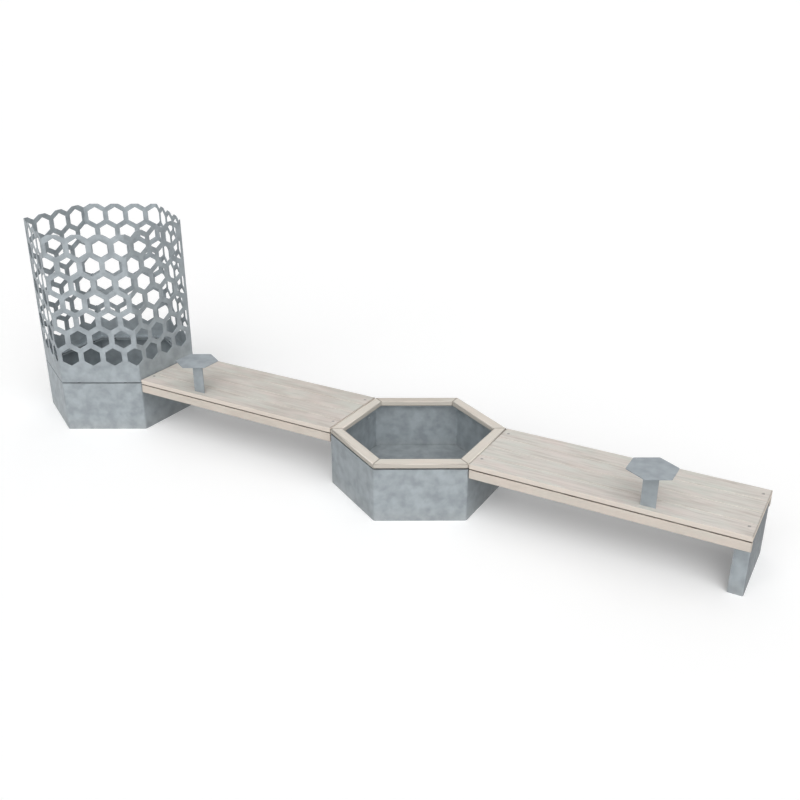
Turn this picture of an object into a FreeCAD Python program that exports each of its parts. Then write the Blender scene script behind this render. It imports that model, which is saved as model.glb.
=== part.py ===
import FreeCAD, Part
import math
import os

# Bench with planter for streets and parks, in millimetres.
# Two six-sided steel planters and two wooden benches stand in one straight line along X.
# From -X to +X: the planter with the tall pierced screen, bench 1, the low planter with the
# wooden rim, bench 2, and a folded steel leg under the free end. A small six-sided table
# stands on a flat stem near the front edge of each bench. Nothing on it moves.
# Z is up, Y = 0 is the middle of the row, -Y is the front. The origin is the middle of the
# footprint on the ground.

# Driving dimensions of the planters
SIDE = 650.0
SEAT_HEIGHT = 450.0
SHEET = 4.0
FOLD_RADIUS = 22.0
TOP_FLANGE = 60.0
FOOT_FLANGE = 40.0
TRAY_TOP = 34.0
TRAY_CLEARANCE = 3.0
DRAIN_RADIUS = 10.0
DRAIN_CIRCLE = 300.0
SCREEN_BASE_HEIGHT = 416.0

# Driving dimensions of the wooden boards
BOARD = 38.0
BOARD_EDGE = 4.0
SHADOW_GAP = 8.0
RIM_WIDTH = 80.0
RIM_EDGE = 8.0
MITRE_GAP = 3.0

# Driving dimensions of the screen
SEAM_GAP = 10.0
HOLE_FLATS = 133.0
HOLE_PITCH = 177.3
LEFT_PITCH = 180.5
ROW_PITCH = 151.5
ROWS = 7
FIRST_ROW_HEIGHT = 651.0
FOLD_OFFSET = 17.0
SEAM_EDGE = 23.0
NARROWEST_HOLE = 15.0
CREST_BAR = 29.0
CREST_HALF_WIDTH = 33.0
CREST_SLOPE = math.radians(30)
RING_LEG = 50.0
STRIP_SHEET = 3.0
STRIP_CLEARANCE = 0.3

# Driving dimensions of the benches
BENCH_LENGTH = 1875.0
BENCH_WIDTH = 650.0
PLANKS = 4
PLANK_GAP = 3.0
END_GAP = 5.0
FASCIA_HEIGHT = 65.0
FASCIA_THICKNESS = 28.0
BEAM_WIDTH = 20.0
BEAM_HEIGHT = 60.0
BEAM_WALL = 3.0
BEAM_INSET = 22.5
CROSS_BARS = 5
CROSS_BAR_WIDTH = 60.0
CROSS_BAR_DROP = 60.0
CROSS_BAR_BEND = 12.0
END_BAR_INSET = 45.0
END_PLATE = 8.0
END_PLATE_WIDTH = 560.0
END_PLATE_BOTTOM = 310.0

# Driving dimensions of the leg
LEG_SHEET = 6.0
LEG_BEND = 12.0
LEG_DEPTH = 97.0
LEG_SIDE_CLEARANCE = 0.5
LEG_RECESS = 3.0
LEG_ANCHOR_RADIUS = 7.0
LEG_ANCHOR_SPACING = 400.0
LEG_DRIVER_RADIUS = 9.0

# Driving dimensions of the tables
TABLE_HEIGHT = 720.0
TABLE_SIDE = 168.0
TABLE_PLATE = 5.0
TABLE_CORNER = 12.0
TABLE_1_SHARE = 1280.0 / 1875.0
TABLE_2_SHARE = 1228.0 / 1875.0
STEM_WIDTH = 98.0
STEM_SHEET = 8.0
STEM_CLEARANCE = 1.0
STEM_FOOT = 348.0
HEAD_PLATE_LENGTH = 130.0
HEAD_PLATE_WIDTH = 90.0
STUD_EDGE = 15.0

# Driving dimensions of the fasteners
HOLE_CLEARANCE = 0.5
THREAD_CLEARANCE = 0.1
FRAME_BOLT = 6.0
FRAME_BOLT_Y = 200.0
FRAME_BOLT_HEIGHTS = (330.0, 380.0)
SCREEN_BOLT = 5.0
STEM_BOLT = 5.0
STEM_BOLT_X = 30.0
STUD = 3.0
PLANK_BOLT = 4.0
FRONT_BOLT_SETBACK = 33.0
DOME_RADIUS = 11.0
DOME_HEIGHT = 4.5
SCREW = 3.0
SCREW_BITE = 22.0
PAD_RADIUS = 20.0
PAD_SPREAD = 190.0

# Sizes that follow from the driving dimensions
COS30 = math.cos(math.radians(30))
TAN30 = math.tan(math.radians(30))
APOTHEM = SIDE * COS30
FRAME_TOP = SEAT_HEIGHT - BOARD - SHADOW_GAP
BOARD_BOTTOM = SEAT_HEIGHT - BOARD
SCREEN_BOTTOM = SCREEN_BASE_HEIGHT + SEAM_GAP
HOLE_HALF = HOLE_FLATS / 2
HOLE_RADIUS = HOLE_HALF / COS30
FOLD = SIDE / 2 - FOLD_RADIUS * (1 / COS30 - 1) / 2
TOP_ROW_HEIGHT = FIRST_ROW_HEIGHT + (ROWS - 1) * ROW_PITCH
CREST_HEIGHT = TOP_ROW_HEIGHT + HOLE_RADIUS + CREST_BAR
PLANK_WIDTH = (BENCH_WIDTH - (PLANKS - 1) * PLANK_GAP) / PLANKS
TOTAL_LENGTH = 4 * APOTHEM + 2 * BENCH_LENGTH
LEG_HALF_WIDTH = BENCH_WIDTH / 2 - FASCIA_THICKNESS - SHADOW_GAP - LEG_SIDE_CLEARANCE
BEAM_POSITION = LEG_HALF_WIDTH - BEAM_INSET
TABLE_1_DISTANCE = TABLE_1_SHARE * BENCH_LENGTH
TABLE_2_DISTANCE = TABLE_2_SHARE * BENCH_LENGTH
CENTRE_X = TOTAL_LENGTH / 2 - BENCH_LENGTH - APOTHEM
SCREEN_X = -TOTAL_LENGTH / 2 + APOTHEM
PAD_APOTHEM = APOTHEM - SHEET - TOP_FLANGE / 2
HEAD_FACTOR = 1.7
HEAD_THICKNESS_FACTOR = 1.3
NUT_THICKNESS_FACTOR = 1.6

# Outward directions of the six sides, in degrees from +X
SIDES = {
    "right": 0,
    "back_right": 60,
    "back_left": 120,
    "left": 180,
    "front_left": 240,
    "front_right": 300,
}


def vec(x, y, z):
    return FreeCAD.Vector(x, y, z)


def box(x0, x1, y0, y1, z0, z1):
    return Part.makeBox(x1 - x0, y1 - y0, z1 - z0, vec(x0, y0, z0))


def rod(x, y, z, radius, length, direction=(0, 0, 1)):
    """A cylinder that starts at a point and runs along a direction."""
    return Part.makeCylinder(radius, length, vec(x, y, z), vec(*direction))


def moved(shape, x=0.0, y=0.0, z=0.0):
    copy = shape.copy()
    copy.translate(vec(x, y, z))
    return copy


def turned(shape, degrees):
    """A copy turned about the vertical axis of its planter."""
    copy = shape.copy()
    copy.rotate(vec(0, 0, 0), vec(0, 0, 1), degrees)
    return copy


def flipped(shape):
    """A copy mirrored from left to right."""
    return shape.mirror(vec(0, 0, 0), vec(1, 0, 0))


def group(shapes):
    return Part.makeCompound(shapes)


def prism(points, z0, z1):
    """An upright prism on a flat outline given as (x, y) pairs."""
    corners = [vec(x, y, z0) for x, y in points]
    face = Part.Face(Part.makePolygon(corners + corners[:1]))
    return face.extrude(vec(0, 0, z1 - z0))


def rounded_wire(corners, radius):
    """A closed wire through flat corners, each one rounded by an arc."""
    edges = []
    starts = []
    count = len(corners)
    for index, corner in enumerate(corners):
        before = (corners[index - 1] - corner).normalize()
        after = (corners[(index + 1) % count] - corner).normalize()
        half_angle = before.getAngle(after) / 2
        reach = radius / math.tan(half_angle)
        bisector = (before + after).normalize()
        middle = corner + bisector * (radius / math.sin(half_angle) - radius)
        first = corner + before * reach
        last = corner + after * reach
        starts.append((first, last))
        edges.append(Part.Arc(first, middle, last).toShape())
    for index in range(count):
        last = starts[index][1]
        first = starts[(index + 1) % count][0]
        edges.append(Part.LineSegment(last, first).toShape())
    return Part.Wire(Part.__sortEdges__(edges))


def rounded_prism(corners, radius, direction):
    return Part.Face(rounded_wire(corners, radius)).extrude(direction)


def hexagon(apothem, z):
    """Corners of a hexagon whose flat sides face +X and -X."""
    reach = apothem / COS30
    angles = [math.radians(30 + 60 * index) for index in range(6)]
    return [vec(reach * math.cos(angle), reach * math.sin(angle), z) for angle in angles]


def hex_prism(apothem, radius, z0, z1):
    return rounded_prism(hexagon(apothem, z0), radius, vec(0, 0, z1 - z0))


def hex_ring(apothem, width, radius, z0, z1):
    """A six-sided ring with rounded outer corners."""
    inner = hex_prism(apothem - width, max(radius - width, 1.0), z0, z1)
    return hex_prism(apothem, radius, z0, z1).cut(inner)


# Fasteners

def hex_head(radius, thickness):
    """A hexagonal head or nut blank that stands on the ground plane."""
    reach = radius * HEAD_FACTOR / COS30
    angles = [math.radians(60 * index) for index in range(6)]
    return prism([(reach * math.cos(a), reach * math.sin(a)) for a in angles], 0, thickness)


def bolt(radius, length):
    """A bolt that points up, with its head below the ground plane."""
    thickness = radius * HEAD_THICKNESS_FACTOR
    head = moved(hex_head(radius, thickness), z=-thickness)
    return head.fuse(rod(0, 0, 0, radius, length)).removeSplitter()


def nut(radius):
    """A nut that stands on the ground plane."""
    thickness = radius * NUT_THICKNESS_FACTOR
    bore = rod(0, 0, 0, radius + THREAD_CLEARANCE, thickness)
    return hex_head(radius, thickness).cut(bore)


def screw(length):
    """A wood screw that points up, with a low round head below the ground plane."""
    head = Part.makeCone(SCREW, SCREW * 2, SCREW, vec(0, 0, -SCREW))
    return head.fuse(rod(0, 0, 0, SCREW, length)).removeSplitter()


def dome_bolt(length):
    """A bolt that points down, with a low domed head above the ground plane."""
    rim = vec(DOME_RADIUS, 0, 0)
    top = vec(0, 0, DOME_HEIGHT)
    sphere = (DOME_RADIUS ** 2 + DOME_HEIGHT ** 2) / (2 * DOME_HEIGHT)
    half_angle = math.asin(DOME_RADIUS / sphere) / 2
    middle = vec(sphere * math.sin(half_angle), 0,
                 DOME_HEIGHT - sphere * (1 - math.cos(half_angle)))
    arc = Part.Arc(rim, middle, top).toShape()
    floor = Part.LineSegment(vec(0, 0, 0), rim).toShape()
    axis = Part.LineSegment(top, vec(0, 0, 0)).toShape()
    dome = Part.Face(Part.Wire([floor, arc, axis])).revolve(vec(0, 0, 0), vec(0, 0, 1), 360)
    return dome.fuse(rod(0, 0, 0, PLANK_BOLT, length, (0, 0, -1))).removeSplitter()


def along_y(shape):
    """A copy of an upright fastener laid down so that it points along +Y."""
    copy = shape.copy()
    copy.rotate(vec(0, 0, 0), vec(1, 0, 0), -90)
    return copy


def along_x(shape, sign):
    """A copy of an upright fastener laid down so that it points along X."""
    copy = shape.copy()
    copy.rotate(vec(0, 0, 0), vec(0, 1, 0), 90 * sign)
    return copy


# Planters

def pad_places():
    """Centres of the twelve pads on a planter's top flange, two on each side."""
    places = []
    for degrees in SIDES.values():
        angle = math.radians(degrees)
        for offset in (-PAD_SPREAD, PAD_SPREAD):
            x = PAD_APOTHEM * math.cos(angle) - offset * math.sin(angle)
            y = PAD_APOTHEM * math.sin(angle) + offset * math.cos(angle)
            places.append((x, y))
    return places


def frame_bolt_places():
    """Heights and side positions of the four bolts that hold a bench frame."""
    return [(y, z) for y in (-FRAME_BOLT_Y, FRAME_BOLT_Y) for z in FRAME_BOLT_HEIGHTS]


def planter_shell(height, pad_bolt, bench_sides):
    """A folded six-sided shell with an inward flange at the top and at the foot."""
    wall = hex_ring(APOTHEM, SHEET, FOLD_RADIUS, 0, height)
    inside = APOTHEM - SHEET
    corner = FOLD_RADIUS - SHEET
    top = hex_ring(inside, TOP_FLANGE, corner, height - SHEET, height)
    foot = hex_ring(inside, FOOT_FLANGE, corner, 0, SHEET)
    shell = wall.fuse([top, foot]).removeSplitter()
    holes = [rod(x, y, height - 2 * SHEET, pad_bolt + HOLE_CLEARANCE, 3 * SHEET)
             for x, y in pad_places()]
    for sign in bench_sides:
        for y, z in frame_bolt_places():
            start = sign * (APOTHEM + SHEET)
            radius = FRAME_BOLT + HOLE_CLEARANCE
            holes.append(rod(start, y, z, radius, 3 * SHEET, (-sign, 0, 0)))
    return shell.cut(holes)


def floor_tray():
    """A tray standing on the foot flange, with drain holes, that carries the soil."""
    apothem = APOTHEM - SHEET - TRAY_CLEARANCE
    corner = FOLD_RADIUS - SHEET
    plate = hex_prism(apothem, corner, TRAY_TOP - SHEET, TRAY_TOP)
    skirt = hex_ring(apothem, SHEET, corner, SHEET, TRAY_TOP)
    drains = [rod(0, 0, 0, DRAIN_RADIUS, 2 * TRAY_TOP)]
    for index in range(6):
        angle = math.radians(60 * index)
        x = DRAIN_CIRCLE * math.cos(angle)
        y = DRAIN_CIRCLE * math.sin(angle)
        drains.append(rod(x, y, 0, DRAIN_RADIUS, 2 * TRAY_TOP))
    return plate.fuse(skirt).removeSplitter().cut(drains)


def pads(z, thickness, hole_radius):
    """Round pads that hold a planter's rim or screen clear of its top flange."""
    shapes = []
    for x, y in pad_places():
        bore = rod(x, y, z, hole_radius + HOLE_CLEARANCE, thickness)
        shapes.append(rod(x, y, z, PAD_RADIUS, thickness).cut(bore))
    return group(shapes)


def rim_board():
    """The rim board of the side that faces +X, mitred at both ends."""
    outer = APOTHEM
    inner = APOTHEM - RIM_WIDTH
    cut_back = MITRE_GAP / 2 / COS30
    outer_half = outer * TAN30 - cut_back
    inner_half = inner * TAN30 - cut_back
    outline = [(inner, -inner_half), (outer, -outer_half), (outer, outer_half), (inner, inner_half)]
    board = prism(outline, BOARD_BOTTOM, SEAT_HEIGHT)
    long_edges = [edge for edge in board.Edges if edge.Length > RIM_WIDTH * 2]
    board = board.makeFillet(RIM_EDGE, long_edges)
    pilots = [rod(PAD_APOTHEM, y, BOARD_BOTTOM, SCREW + THREAD_CLEARANCE, SCREW_BITE + 1)
              for y in (-PAD_SPREAD, PAD_SPREAD)]
    return board.cut(pilots)


def centre_planter():
    nodes = {
        "centre_shell": planter_shell(FRAME_TOP, SCREW, (-1, 1)),
        "centre_tray": floor_tray(),
        "rim_pads": pads(FRAME_TOP, SHADOW_GAP, SCREW),
    }
    for name, degrees in SIDES.items():
        nodes["rim_board_" + name] = turned(rim_board(), degrees)
    reach = SHEET + SHADOW_GAP + SCREW_BITE
    nodes["rim_screws"] = group([moved(screw(reach), x, y, FRAME_TOP - SHEET)
                                 for x, y in pad_places()])
    return {name: moved(shape, x=CENTRE_X) for name, shape in nodes.items()}


# Screen

def fold_section(apothem, sheet, radius):
    """Flat outline of one side's wall, from the middle of one fold to the middle of the next."""
    half = (apothem - radius) * TAN30
    centre = vec(apothem - radius, half, 0)

    def on_bend(reach, degrees):
        angle = math.radians(degrees)
        return centre + vec(reach * math.cos(angle), reach * math.sin(angle), 0)

    def below(point):
        return vec(point.x, -point.y, 0)

    outer = [on_bend(radius, degrees) for degrees in (0, 15, 30)]
    inner = [on_bend(radius - sheet, degrees) for degrees in (0, 15, 30)]
    edges = [
        Part.LineSegment(below(outer[0]), outer[0]),
        Part.Arc(outer[0], outer[1], outer[2]),
        Part.LineSegment(outer[2], inner[2]),
        Part.Arc(inner[2], inner[1], inner[0]),
        Part.LineSegment(inner[0], below(inner[0])),
        Part.Arc(below(inner[0]), below(inner[1]), below(inner[2])),
        Part.LineSegment(below(inner[2]), below(outer[2])),
        Part.Arc(below(outer[2]), below(outer[1]), below(outer[0])),
    ]
    return Part.Face(Part.Wire([edge.toShape() for edge in edges]))


def front_right_centres(parity):
    """Hole centres along the front right side, from its left fold to its right fold."""
    start = FOLD - FOLD_OFFSET - parity * HOLE_PITCH / 2
    count = int(2 * SIDE / HOLE_PITCH) + 1
    return [start - step * HOLE_PITCH for step in range(-1, count)]


def right_centres(parity):
    """The same pattern carried round the fold onto the right side."""
    start = -FOLD - FOLD_OFFSET - parity * HOLE_PITCH / 2
    count = int(2 * SIDE / HOLE_PITCH) + 2
    return [start + step * HOLE_PITCH for step in range(count)]


def front_left_centres(parity):
    """The front left side repeats the front right side as seen in a mirror at their fold."""
    neighbours = front_right_centres(parity)
    beyond = [-centre for centre in neighbours if centre < -FOLD]
    first = -min(centre for centre in neighbours if centre >= -FOLD)
    count = int(2 * SIDE / LEFT_PITCH) + 1
    return beyond + [first - step * LEFT_PITCH for step in range(count)]


def panel_centres(name, parity):
    """Hole centres on a side; the back half of the screen mirrors the front half."""
    makers = {
        "front_right": (front_right_centres, 1),
        "right": (right_centres, 1),
        "front_left": (front_left_centres, 1),
        "back_left": (front_right_centres, -1),
        "back_right": (right_centres, -1),
        "left": (front_left_centres, -1),
    }
    maker, sign = makers[name]
    return sorted(sign * centre for centre in maker(parity))


def panel_limits(name):
    """Holes stop short of the two welded seams and run on through the four folds."""
    beyond = SIDE
    stop = FOLD - SEAM_EDGE
    limits = {
        "right": (-beyond, stop),
        "back_right": (-stop, beyond),
        "left": (-beyond, stop),
        "front_left": (-stop, beyond),
        "back_left": (-beyond, beyond),
        "front_right": (-beyond, beyond),
    }
    return limits[name]


def upright_prism(outline):
    """A prism through the wall of the +X side, on an outline given as (y, z) pairs."""
    depth = 3 * FOLD_RADIUS
    corners = [vec(APOTHEM - depth / 2, y, z) for y, z in outline]
    return Part.Face(Part.makePolygon(corners + corners[:1])).extrude(vec(depth, 0, 0))


def panel_holes(name):
    low, high = panel_limits(name)
    holes = []
    for row in range(ROWS):
        height = FIRST_ROW_HEIGHT + row * ROW_PITCH
        for centre in panel_centres(name, row % 2):
            left = max(centre - HOLE_HALF, low)
            right = min(centre + HOLE_HALF, high)
            seen = min(right, FOLD) - max(left, -FOLD)
            if seen < NARROWEST_HOLE and not (left < -FOLD or right > FOLD):
                continue
            if right - left < NARROWEST_HOLE or seen <= 0:
                continue
            hexagonal = [(centre + HOLE_RADIUS * math.sin(math.radians(60 * corner)),
                          height + HOLE_RADIUS * math.cos(math.radians(60 * corner)))
                         for corner in range(6)]
            hole = upright_prism(hexagonal)
            if left > centre - HOLE_HALF or right < centre + HOLE_HALF:
                keep = box(0, 2 * APOTHEM, left, right, height - SIDE, height + SIDE)
                hole = hole.common(keep)
            holes.append(hole)
    return holes


def crest_outline(name):
    """Outline of a panel: straight foot and sides, crests over the top row of holes."""
    centres = panel_centres(name, (ROWS - 1) % 2)
    outline = [(-SIDE, SCREEN_BOTTOM), (SIDE, SCREEN_BOTTOM)]
    top = []
    for here, following in zip(centres, centres[1:]):
        middle = (here + following) / 2
        drop = (middle - here - CREST_HALF_WIDTH) * math.tan(CREST_SLOPE)
        top.append((here + CREST_HALF_WIDTH, CREST_HEIGHT))
        top.append((middle, CREST_HEIGHT - drop))
        top.append((following - CREST_HALF_WIDTH, CREST_HEIGHT))
    top = [(-SIDE, CREST_HEIGHT)] + [point for point in top if -SIDE < point[0] < SIDE]
    top.append((SIDE, CREST_HEIGHT))
    return outline + top[::-1]


def screen_panel(name):
    """One side of the screen, curled at both ends to the middle of its folds."""
    section = fold_section(APOTHEM, SHEET, FOLD_RADIUS)
    wall = section.extrude(vec(0, 0, CREST_HEIGHT + SIDE))
    wall = wall.common(upright_prism(crest_outline(name)))
    return turned(wall.cut(panel_holes(name)), SIDES[name])


def seam_strip(vertex_degrees):
    """An angle strip behind a welded seam, inside the screen."""
    inside = APOTHEM - SHEET - STRIP_CLEARANCE
    radius = FOLD_RADIUS - SHEET - STRIP_CLEARANCE
    section = fold_section(inside, STRIP_SHEET, radius)
    bottom = SCREEN_BOTTOM + RING_LEG
    top = CREST_HEIGHT - (HOLE_PITCH / 2 - CREST_HALF_WIDTH) * math.tan(CREST_SLOPE) - CREST_BAR
    wall = moved(section.extrude(vec(0, 0, top - bottom)), z=bottom)
    reach = FOLD - SEAM_EDGE
    after = wall.common(box(0, 2 * APOTHEM, reach, SIDE, 0, 2 * CREST_HEIGHT))
    before = wall.common(box(0, 2 * APOTHEM, -SIDE, -reach, 0, 2 * CREST_HEIGHT))
    halves = turned(after, vertex_degrees - 30).fuse(turned(before, vertex_degrees + 30))
    return halves.removeSplitter()


def mount_ring():
    """An angle ring inside the foot of the screen, bolted down through the pads."""
    inside = APOTHEM - SHEET
    corner = FOLD_RADIUS - SHEET
    upright = hex_ring(inside, SHEET, corner, SCREEN_BOTTOM, SCREEN_BOTTOM + RING_LEG)
    flat = hex_ring(inside, RING_LEG, corner, SCREEN_BOTTOM, SCREEN_BOTTOM + SHEET)
    holes = [rod(x, y, SCREEN_BOTTOM - SHEET, SCREEN_BOLT + HOLE_CLEARANCE, 3 * SHEET)
             for x, y in pad_places()]
    return upright.fuse(flat).removeSplitter().cut(holes)


def screen_planter():
    nodes = {
        "screen_base_shell": planter_shell(SCREEN_BASE_HEIGHT, SCREEN_BOLT, (1,)),
        "screen_base_tray": floor_tray(),
        "screen_pads": pads(SCREEN_BASE_HEIGHT, SEAM_GAP, SCREEN_BOLT),
        "screen_mount_ring": mount_ring(),
        "screen_seam_strips": group([seam_strip(30), seam_strip(210)]),
    }
    for name in SIDES:
        nodes["screen_panel_" + name] = screen_panel(name)
    reach = 2 * SHEET + SEAM_GAP + SCREEN_BOLT * (NUT_THICKNESS_FACTOR + 1)
    nodes["screen_bolts"] = group([moved(bolt(SCREEN_BOLT, reach), x, y, SCREEN_BASE_HEIGHT - SHEET)
                                   for x, y in pad_places()])
    nodes["screen_nuts"] = group([moved(nut(SCREEN_BOLT), x, y, SCREEN_BOTTOM + SHEET)
                                  for x, y in pad_places()])
    return {name: moved(shape, x=SCREEN_X) for name, shape in nodes.items()}


# Benches, drawn with the planter's face at X = 0 and the bench running towards +X

def plank_middle(index):
    return -BENCH_WIDTH / 2 + PLANK_WIDTH / 2 + index * (PLANK_WIDTH + PLANK_GAP)


def bar_places():
    """Distances of the cross bars from the planter's face."""
    first = END_GAP + END_BAR_INSET
    last = BENCH_LENGTH - END_BAR_INSET
    return [first + index * (last - first) / (CROSS_BARS - 1) for index in range(CROSS_BARS)]


def is_bolted(bar, plank):
    """The outer planks have domed bolts at both ends; screws hold the rest from below."""
    return bar in (0, CROSS_BARS - 1) and plank in (0, PLANKS - 1)


def fixing_y(bar, plank):
    """Screws and bolts sit in the middle of their plank, but the front bolts lie further back."""
    if is_bolted(bar, plank) and plank == 0:
        return plank_middle(plank) + FRONT_BOLT_SETBACK
    return plank_middle(plank)


def plank_fixings(bolted):
    """Places of the planks' bolts or screws on the cross bars."""
    return [(x, fixing_y(bar, plank), plank)
            for bar, x in enumerate(bar_places())
            for plank in range(PLANKS)
            if is_bolted(bar, plank) == bolted]


def plank(index, far_end, table_distance):
    middle = plank_middle(index)
    low = middle - PLANK_WIDTH / 2
    high = middle + PLANK_WIDTH / 2
    board = box(END_GAP, far_end, low, high, BOARD_BOTTOM, SEAT_HEIGHT)
    board = board.makeFillet(BOARD_EDGE, board.Edges)
    cuts = []
    for x, y, number in plank_fixings(True):
        if number == index:
            cuts.append(rod(x, y, BOARD_BOTTOM - 1, PLANK_BOLT + HOLE_CLEARANCE, BOARD + 2))
    for x, y, number in plank_fixings(False):
        if number == index:
            cuts.append(rod(x, y, BOARD_BOTTOM - 1, SCREW + THREAD_CLEARANCE, SCREW_BITE + 2))
    reach_x = STEM_WIDTH / 2 + STEM_CLEARANCE
    reach_y = STEM_SHEET / 2 + STEM_CLEARANCE
    if low < stem_middle() + reach_y and high > stem_middle() - reach_y:
        cuts.append(box(table_distance - reach_x, table_distance + reach_x,
                        stem_middle() - reach_y, stem_middle() + reach_y,
                        BOARD_BOTTOM - 1, SEAT_HEIGHT + 1))
    return board.cut(cuts)


def stem_middle():
    """The stem lies against the outer face of the front beam and bolts to it."""
    return -BEAM_POSITION - BEAM_WIDTH / 2 - STEM_SHEET / 2


def fascia(side, far_end):
    """An upright board below the front or back edge of the planks."""
    outer = BENCH_WIDTH / 2
    inner = outer - FASCIA_THICKNESS
    board = box(END_GAP, far_end, inner, outer, FRAME_TOP - FASCIA_HEIGHT, FRAME_TOP)
    board = board.makeFillet(BOARD_EDGE, board.Edges)
    pilots = [rod(x, inner, fascia_screw_height(), SCREW + THREAD_CLEARANCE,
                  FASCIA_THICKNESS - SCREW, (0, 1, 0)) for x in bar_places()]
    board = board.cut(pilots)
    return board if side > 0 else board.mirror(vec(0, 0, 0), vec(0, 1, 0))


def fascia_screw_height():
    return BOARD_BOTTOM - CROSS_BAR_DROP * 2 / 3


def beam(side, start, end):
    """A rectangular tube under the planks."""
    low = BEAM_POSITION - BEAM_WIDTH / 2
    high = BEAM_POSITION + BEAM_WIDTH / 2
    bottom = FRAME_TOP - BEAM_HEIGHT
    tube = box(start, end, low, high, bottom, FRAME_TOP)
    tube = tube.cut(box(start - 1, end + 1, low + BEAM_WALL, high - BEAM_WALL,
                        bottom + BEAM_WALL, FRAME_TOP - BEAM_WALL))
    return tube if side > 0 else tube.mirror(vec(0, 0, 0), vec(0, 1, 0))


def beam_with_stem_holes(start, end, table_distance):
    """The front beam, drilled for the two bolts of the table's stem."""
    drills = [rod(table_distance + x, -BEAM_POSITION - BEAM_WIDTH, z, STEM_BOLT + HOLE_CLEARANCE,
                  2 * BEAM_WIDTH, (0, 1, 0)) for x, z in stem_bolt_places()]
    return beam(-1, start, end).cut(drills)


def cross_bars():
    """Steel straps across the beams, bent down at both ends to carry the fascias."""
    half = BENCH_WIDTH / 2 - FASCIA_THICKNESS
    corners = [vec(0, -half, BOARD_BOTTOM), vec(0, half, BOARD_BOTTOM),
               vec(0, half, BOARD_BOTTOM - 2 * CROSS_BAR_DROP),
               vec(0, -half, BOARD_BOTTOM - 2 * CROSS_BAR_DROP)]
    inset = SHADOW_GAP
    inner = [vec(0, -half + inset, BOARD_BOTTOM - inset), vec(0, half - inset, BOARD_BOTTOM - inset),
             vec(0, half - inset, BOARD_BOTTOM - 2 * CROSS_BAR_DROP + inset),
             vec(0, -half + inset, BOARD_BOTTOM - 2 * CROSS_BAR_DROP + inset)]
    run = vec(CROSS_BAR_WIDTH, 0, 0)
    strap = rounded_prism(corners, CROSS_BAR_BEND, run)
    strap = strap.cut(rounded_prism(inner, CROSS_BAR_BEND - inset, run))
    strap = strap.common(box(0, CROSS_BAR_WIDTH, -half, half,
                             BOARD_BOTTOM - CROSS_BAR_DROP, BOARD_BOTTOM))
    bars = []
    for bar, x in enumerate(bar_places()):
        drills = []
        for index in range(PLANKS):
            radius = PLANK_BOLT if is_bolted(bar, index) else SCREW
            drills.append(rod(CROSS_BAR_WIDTH / 2, fixing_y(bar, index), FRAME_TOP - 1,
                              radius + HOLE_CLEARANCE, SHADOW_GAP + 2))
        drills.append(rod(CROSS_BAR_WIDTH / 2, -half - 1, fascia_screw_height(),
                          SCREW + HOLE_CLEARANCE, 2 * half + 2, (0, 1, 0)))
        bars.append(moved(strap.cut(drills), x=x - CROSS_BAR_WIDTH / 2))
    return group(bars)


def end_plate():
    """The plate that bolts a bench frame to a planter's face."""
    half = END_PLATE_WIDTH / 2
    plate = box(0, END_PLATE, -half, half, END_PLATE_BOTTOM, FRAME_TOP)
    drills = [rod(-1, y, z, FRAME_BOLT + HOLE_CLEARANCE, END_PLATE + 2, (1, 0, 0))
              for y, z in frame_bolt_places()]
    return plate.cut(drills)


def leg():
    """A folded steel leg across the whole frame, with a foot flange to anchor it.

    Round holes in its sides let a driver through to the last fascia screws, and the sides
    stop short of the bend of the last cross bar.
    """
    face = BENCH_LENGTH - LEG_RECESS
    half = LEG_HALF_WIDTH
    back = face - 2 * LEG_DEPTH
    corners = [vec(face, half, 0), vec(face, -half, 0), vec(back, -half, 0), vec(back, half, 0)]
    inner = [vec(face - LEG_SHEET, half - LEG_SHEET, 0), vec(face - LEG_SHEET, LEG_SHEET - half, 0),
             vec(back + LEG_SHEET, LEG_SHEET - half, 0), vec(back + LEG_SHEET, half - LEG_SHEET, 0)]
    rise = vec(0, 0, FRAME_TOP)
    shell = rounded_prism(corners, LEG_BEND, rise)
    shell = shell.cut(rounded_prism(inner, LEG_BEND - LEG_SHEET, rise))
    shell = shell.common(box(face - LEG_DEPTH, face, -half, half, 0, FRAME_TOP))
    inside = half - LEG_SHEET
    foot = box(face - LEG_DEPTH, face - LEG_SHEET / 2, -inside, inside, 0, LEG_SHEET)
    anchors = [rod(face - LEG_DEPTH / 2, y, -1, LEG_ANCHOR_RADIUS, LEG_SHEET + 2)
               for y in (-LEG_ANCHOR_SPACING / 2, LEG_ANCHOR_SPACING / 2)]
    corner_relief = [box(face - LEG_SHEET - LEG_BEND, face, y, y + LEG_BEND, 0, LEG_SHEET)
                     for y in (-inside, inside - LEG_BEND)]
    foot = foot.cut(anchors).cut(corner_relief)
    driver_holes = rod(bar_places()[-1], -half - 1, fascia_screw_height(), LEG_DRIVER_RADIUS,
                       2 * half + 2, (0, 1, 0))
    bend_relief = box(face - 2 * LEG_DEPTH, face - LEG_BEND, -BENCH_WIDTH, BENCH_WIDTH,
                      FRAME_TOP - CROSS_BAR_BEND + SHADOW_GAP, FRAME_TOP)
    return shell.fuse(foot).removeSplitter().cut([driver_holes, bend_relief])


def stem_bolt_places():
    """The two bolts of a table stem, as distances along X and heights."""
    height = FRAME_TOP - BEAM_HEIGHT / 2
    return [(-STEM_BOLT_X, height), (STEM_BOLT_X, height)]


def stud_places():
    half_x = HEAD_PLATE_LENGTH / 2 - STUD_EDGE
    half_y = HEAD_PLATE_WIDTH / 2 - STUD_EDGE
    return [(x, y) for x in (-half_x, half_x) for y in (-half_y, half_y)]


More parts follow.
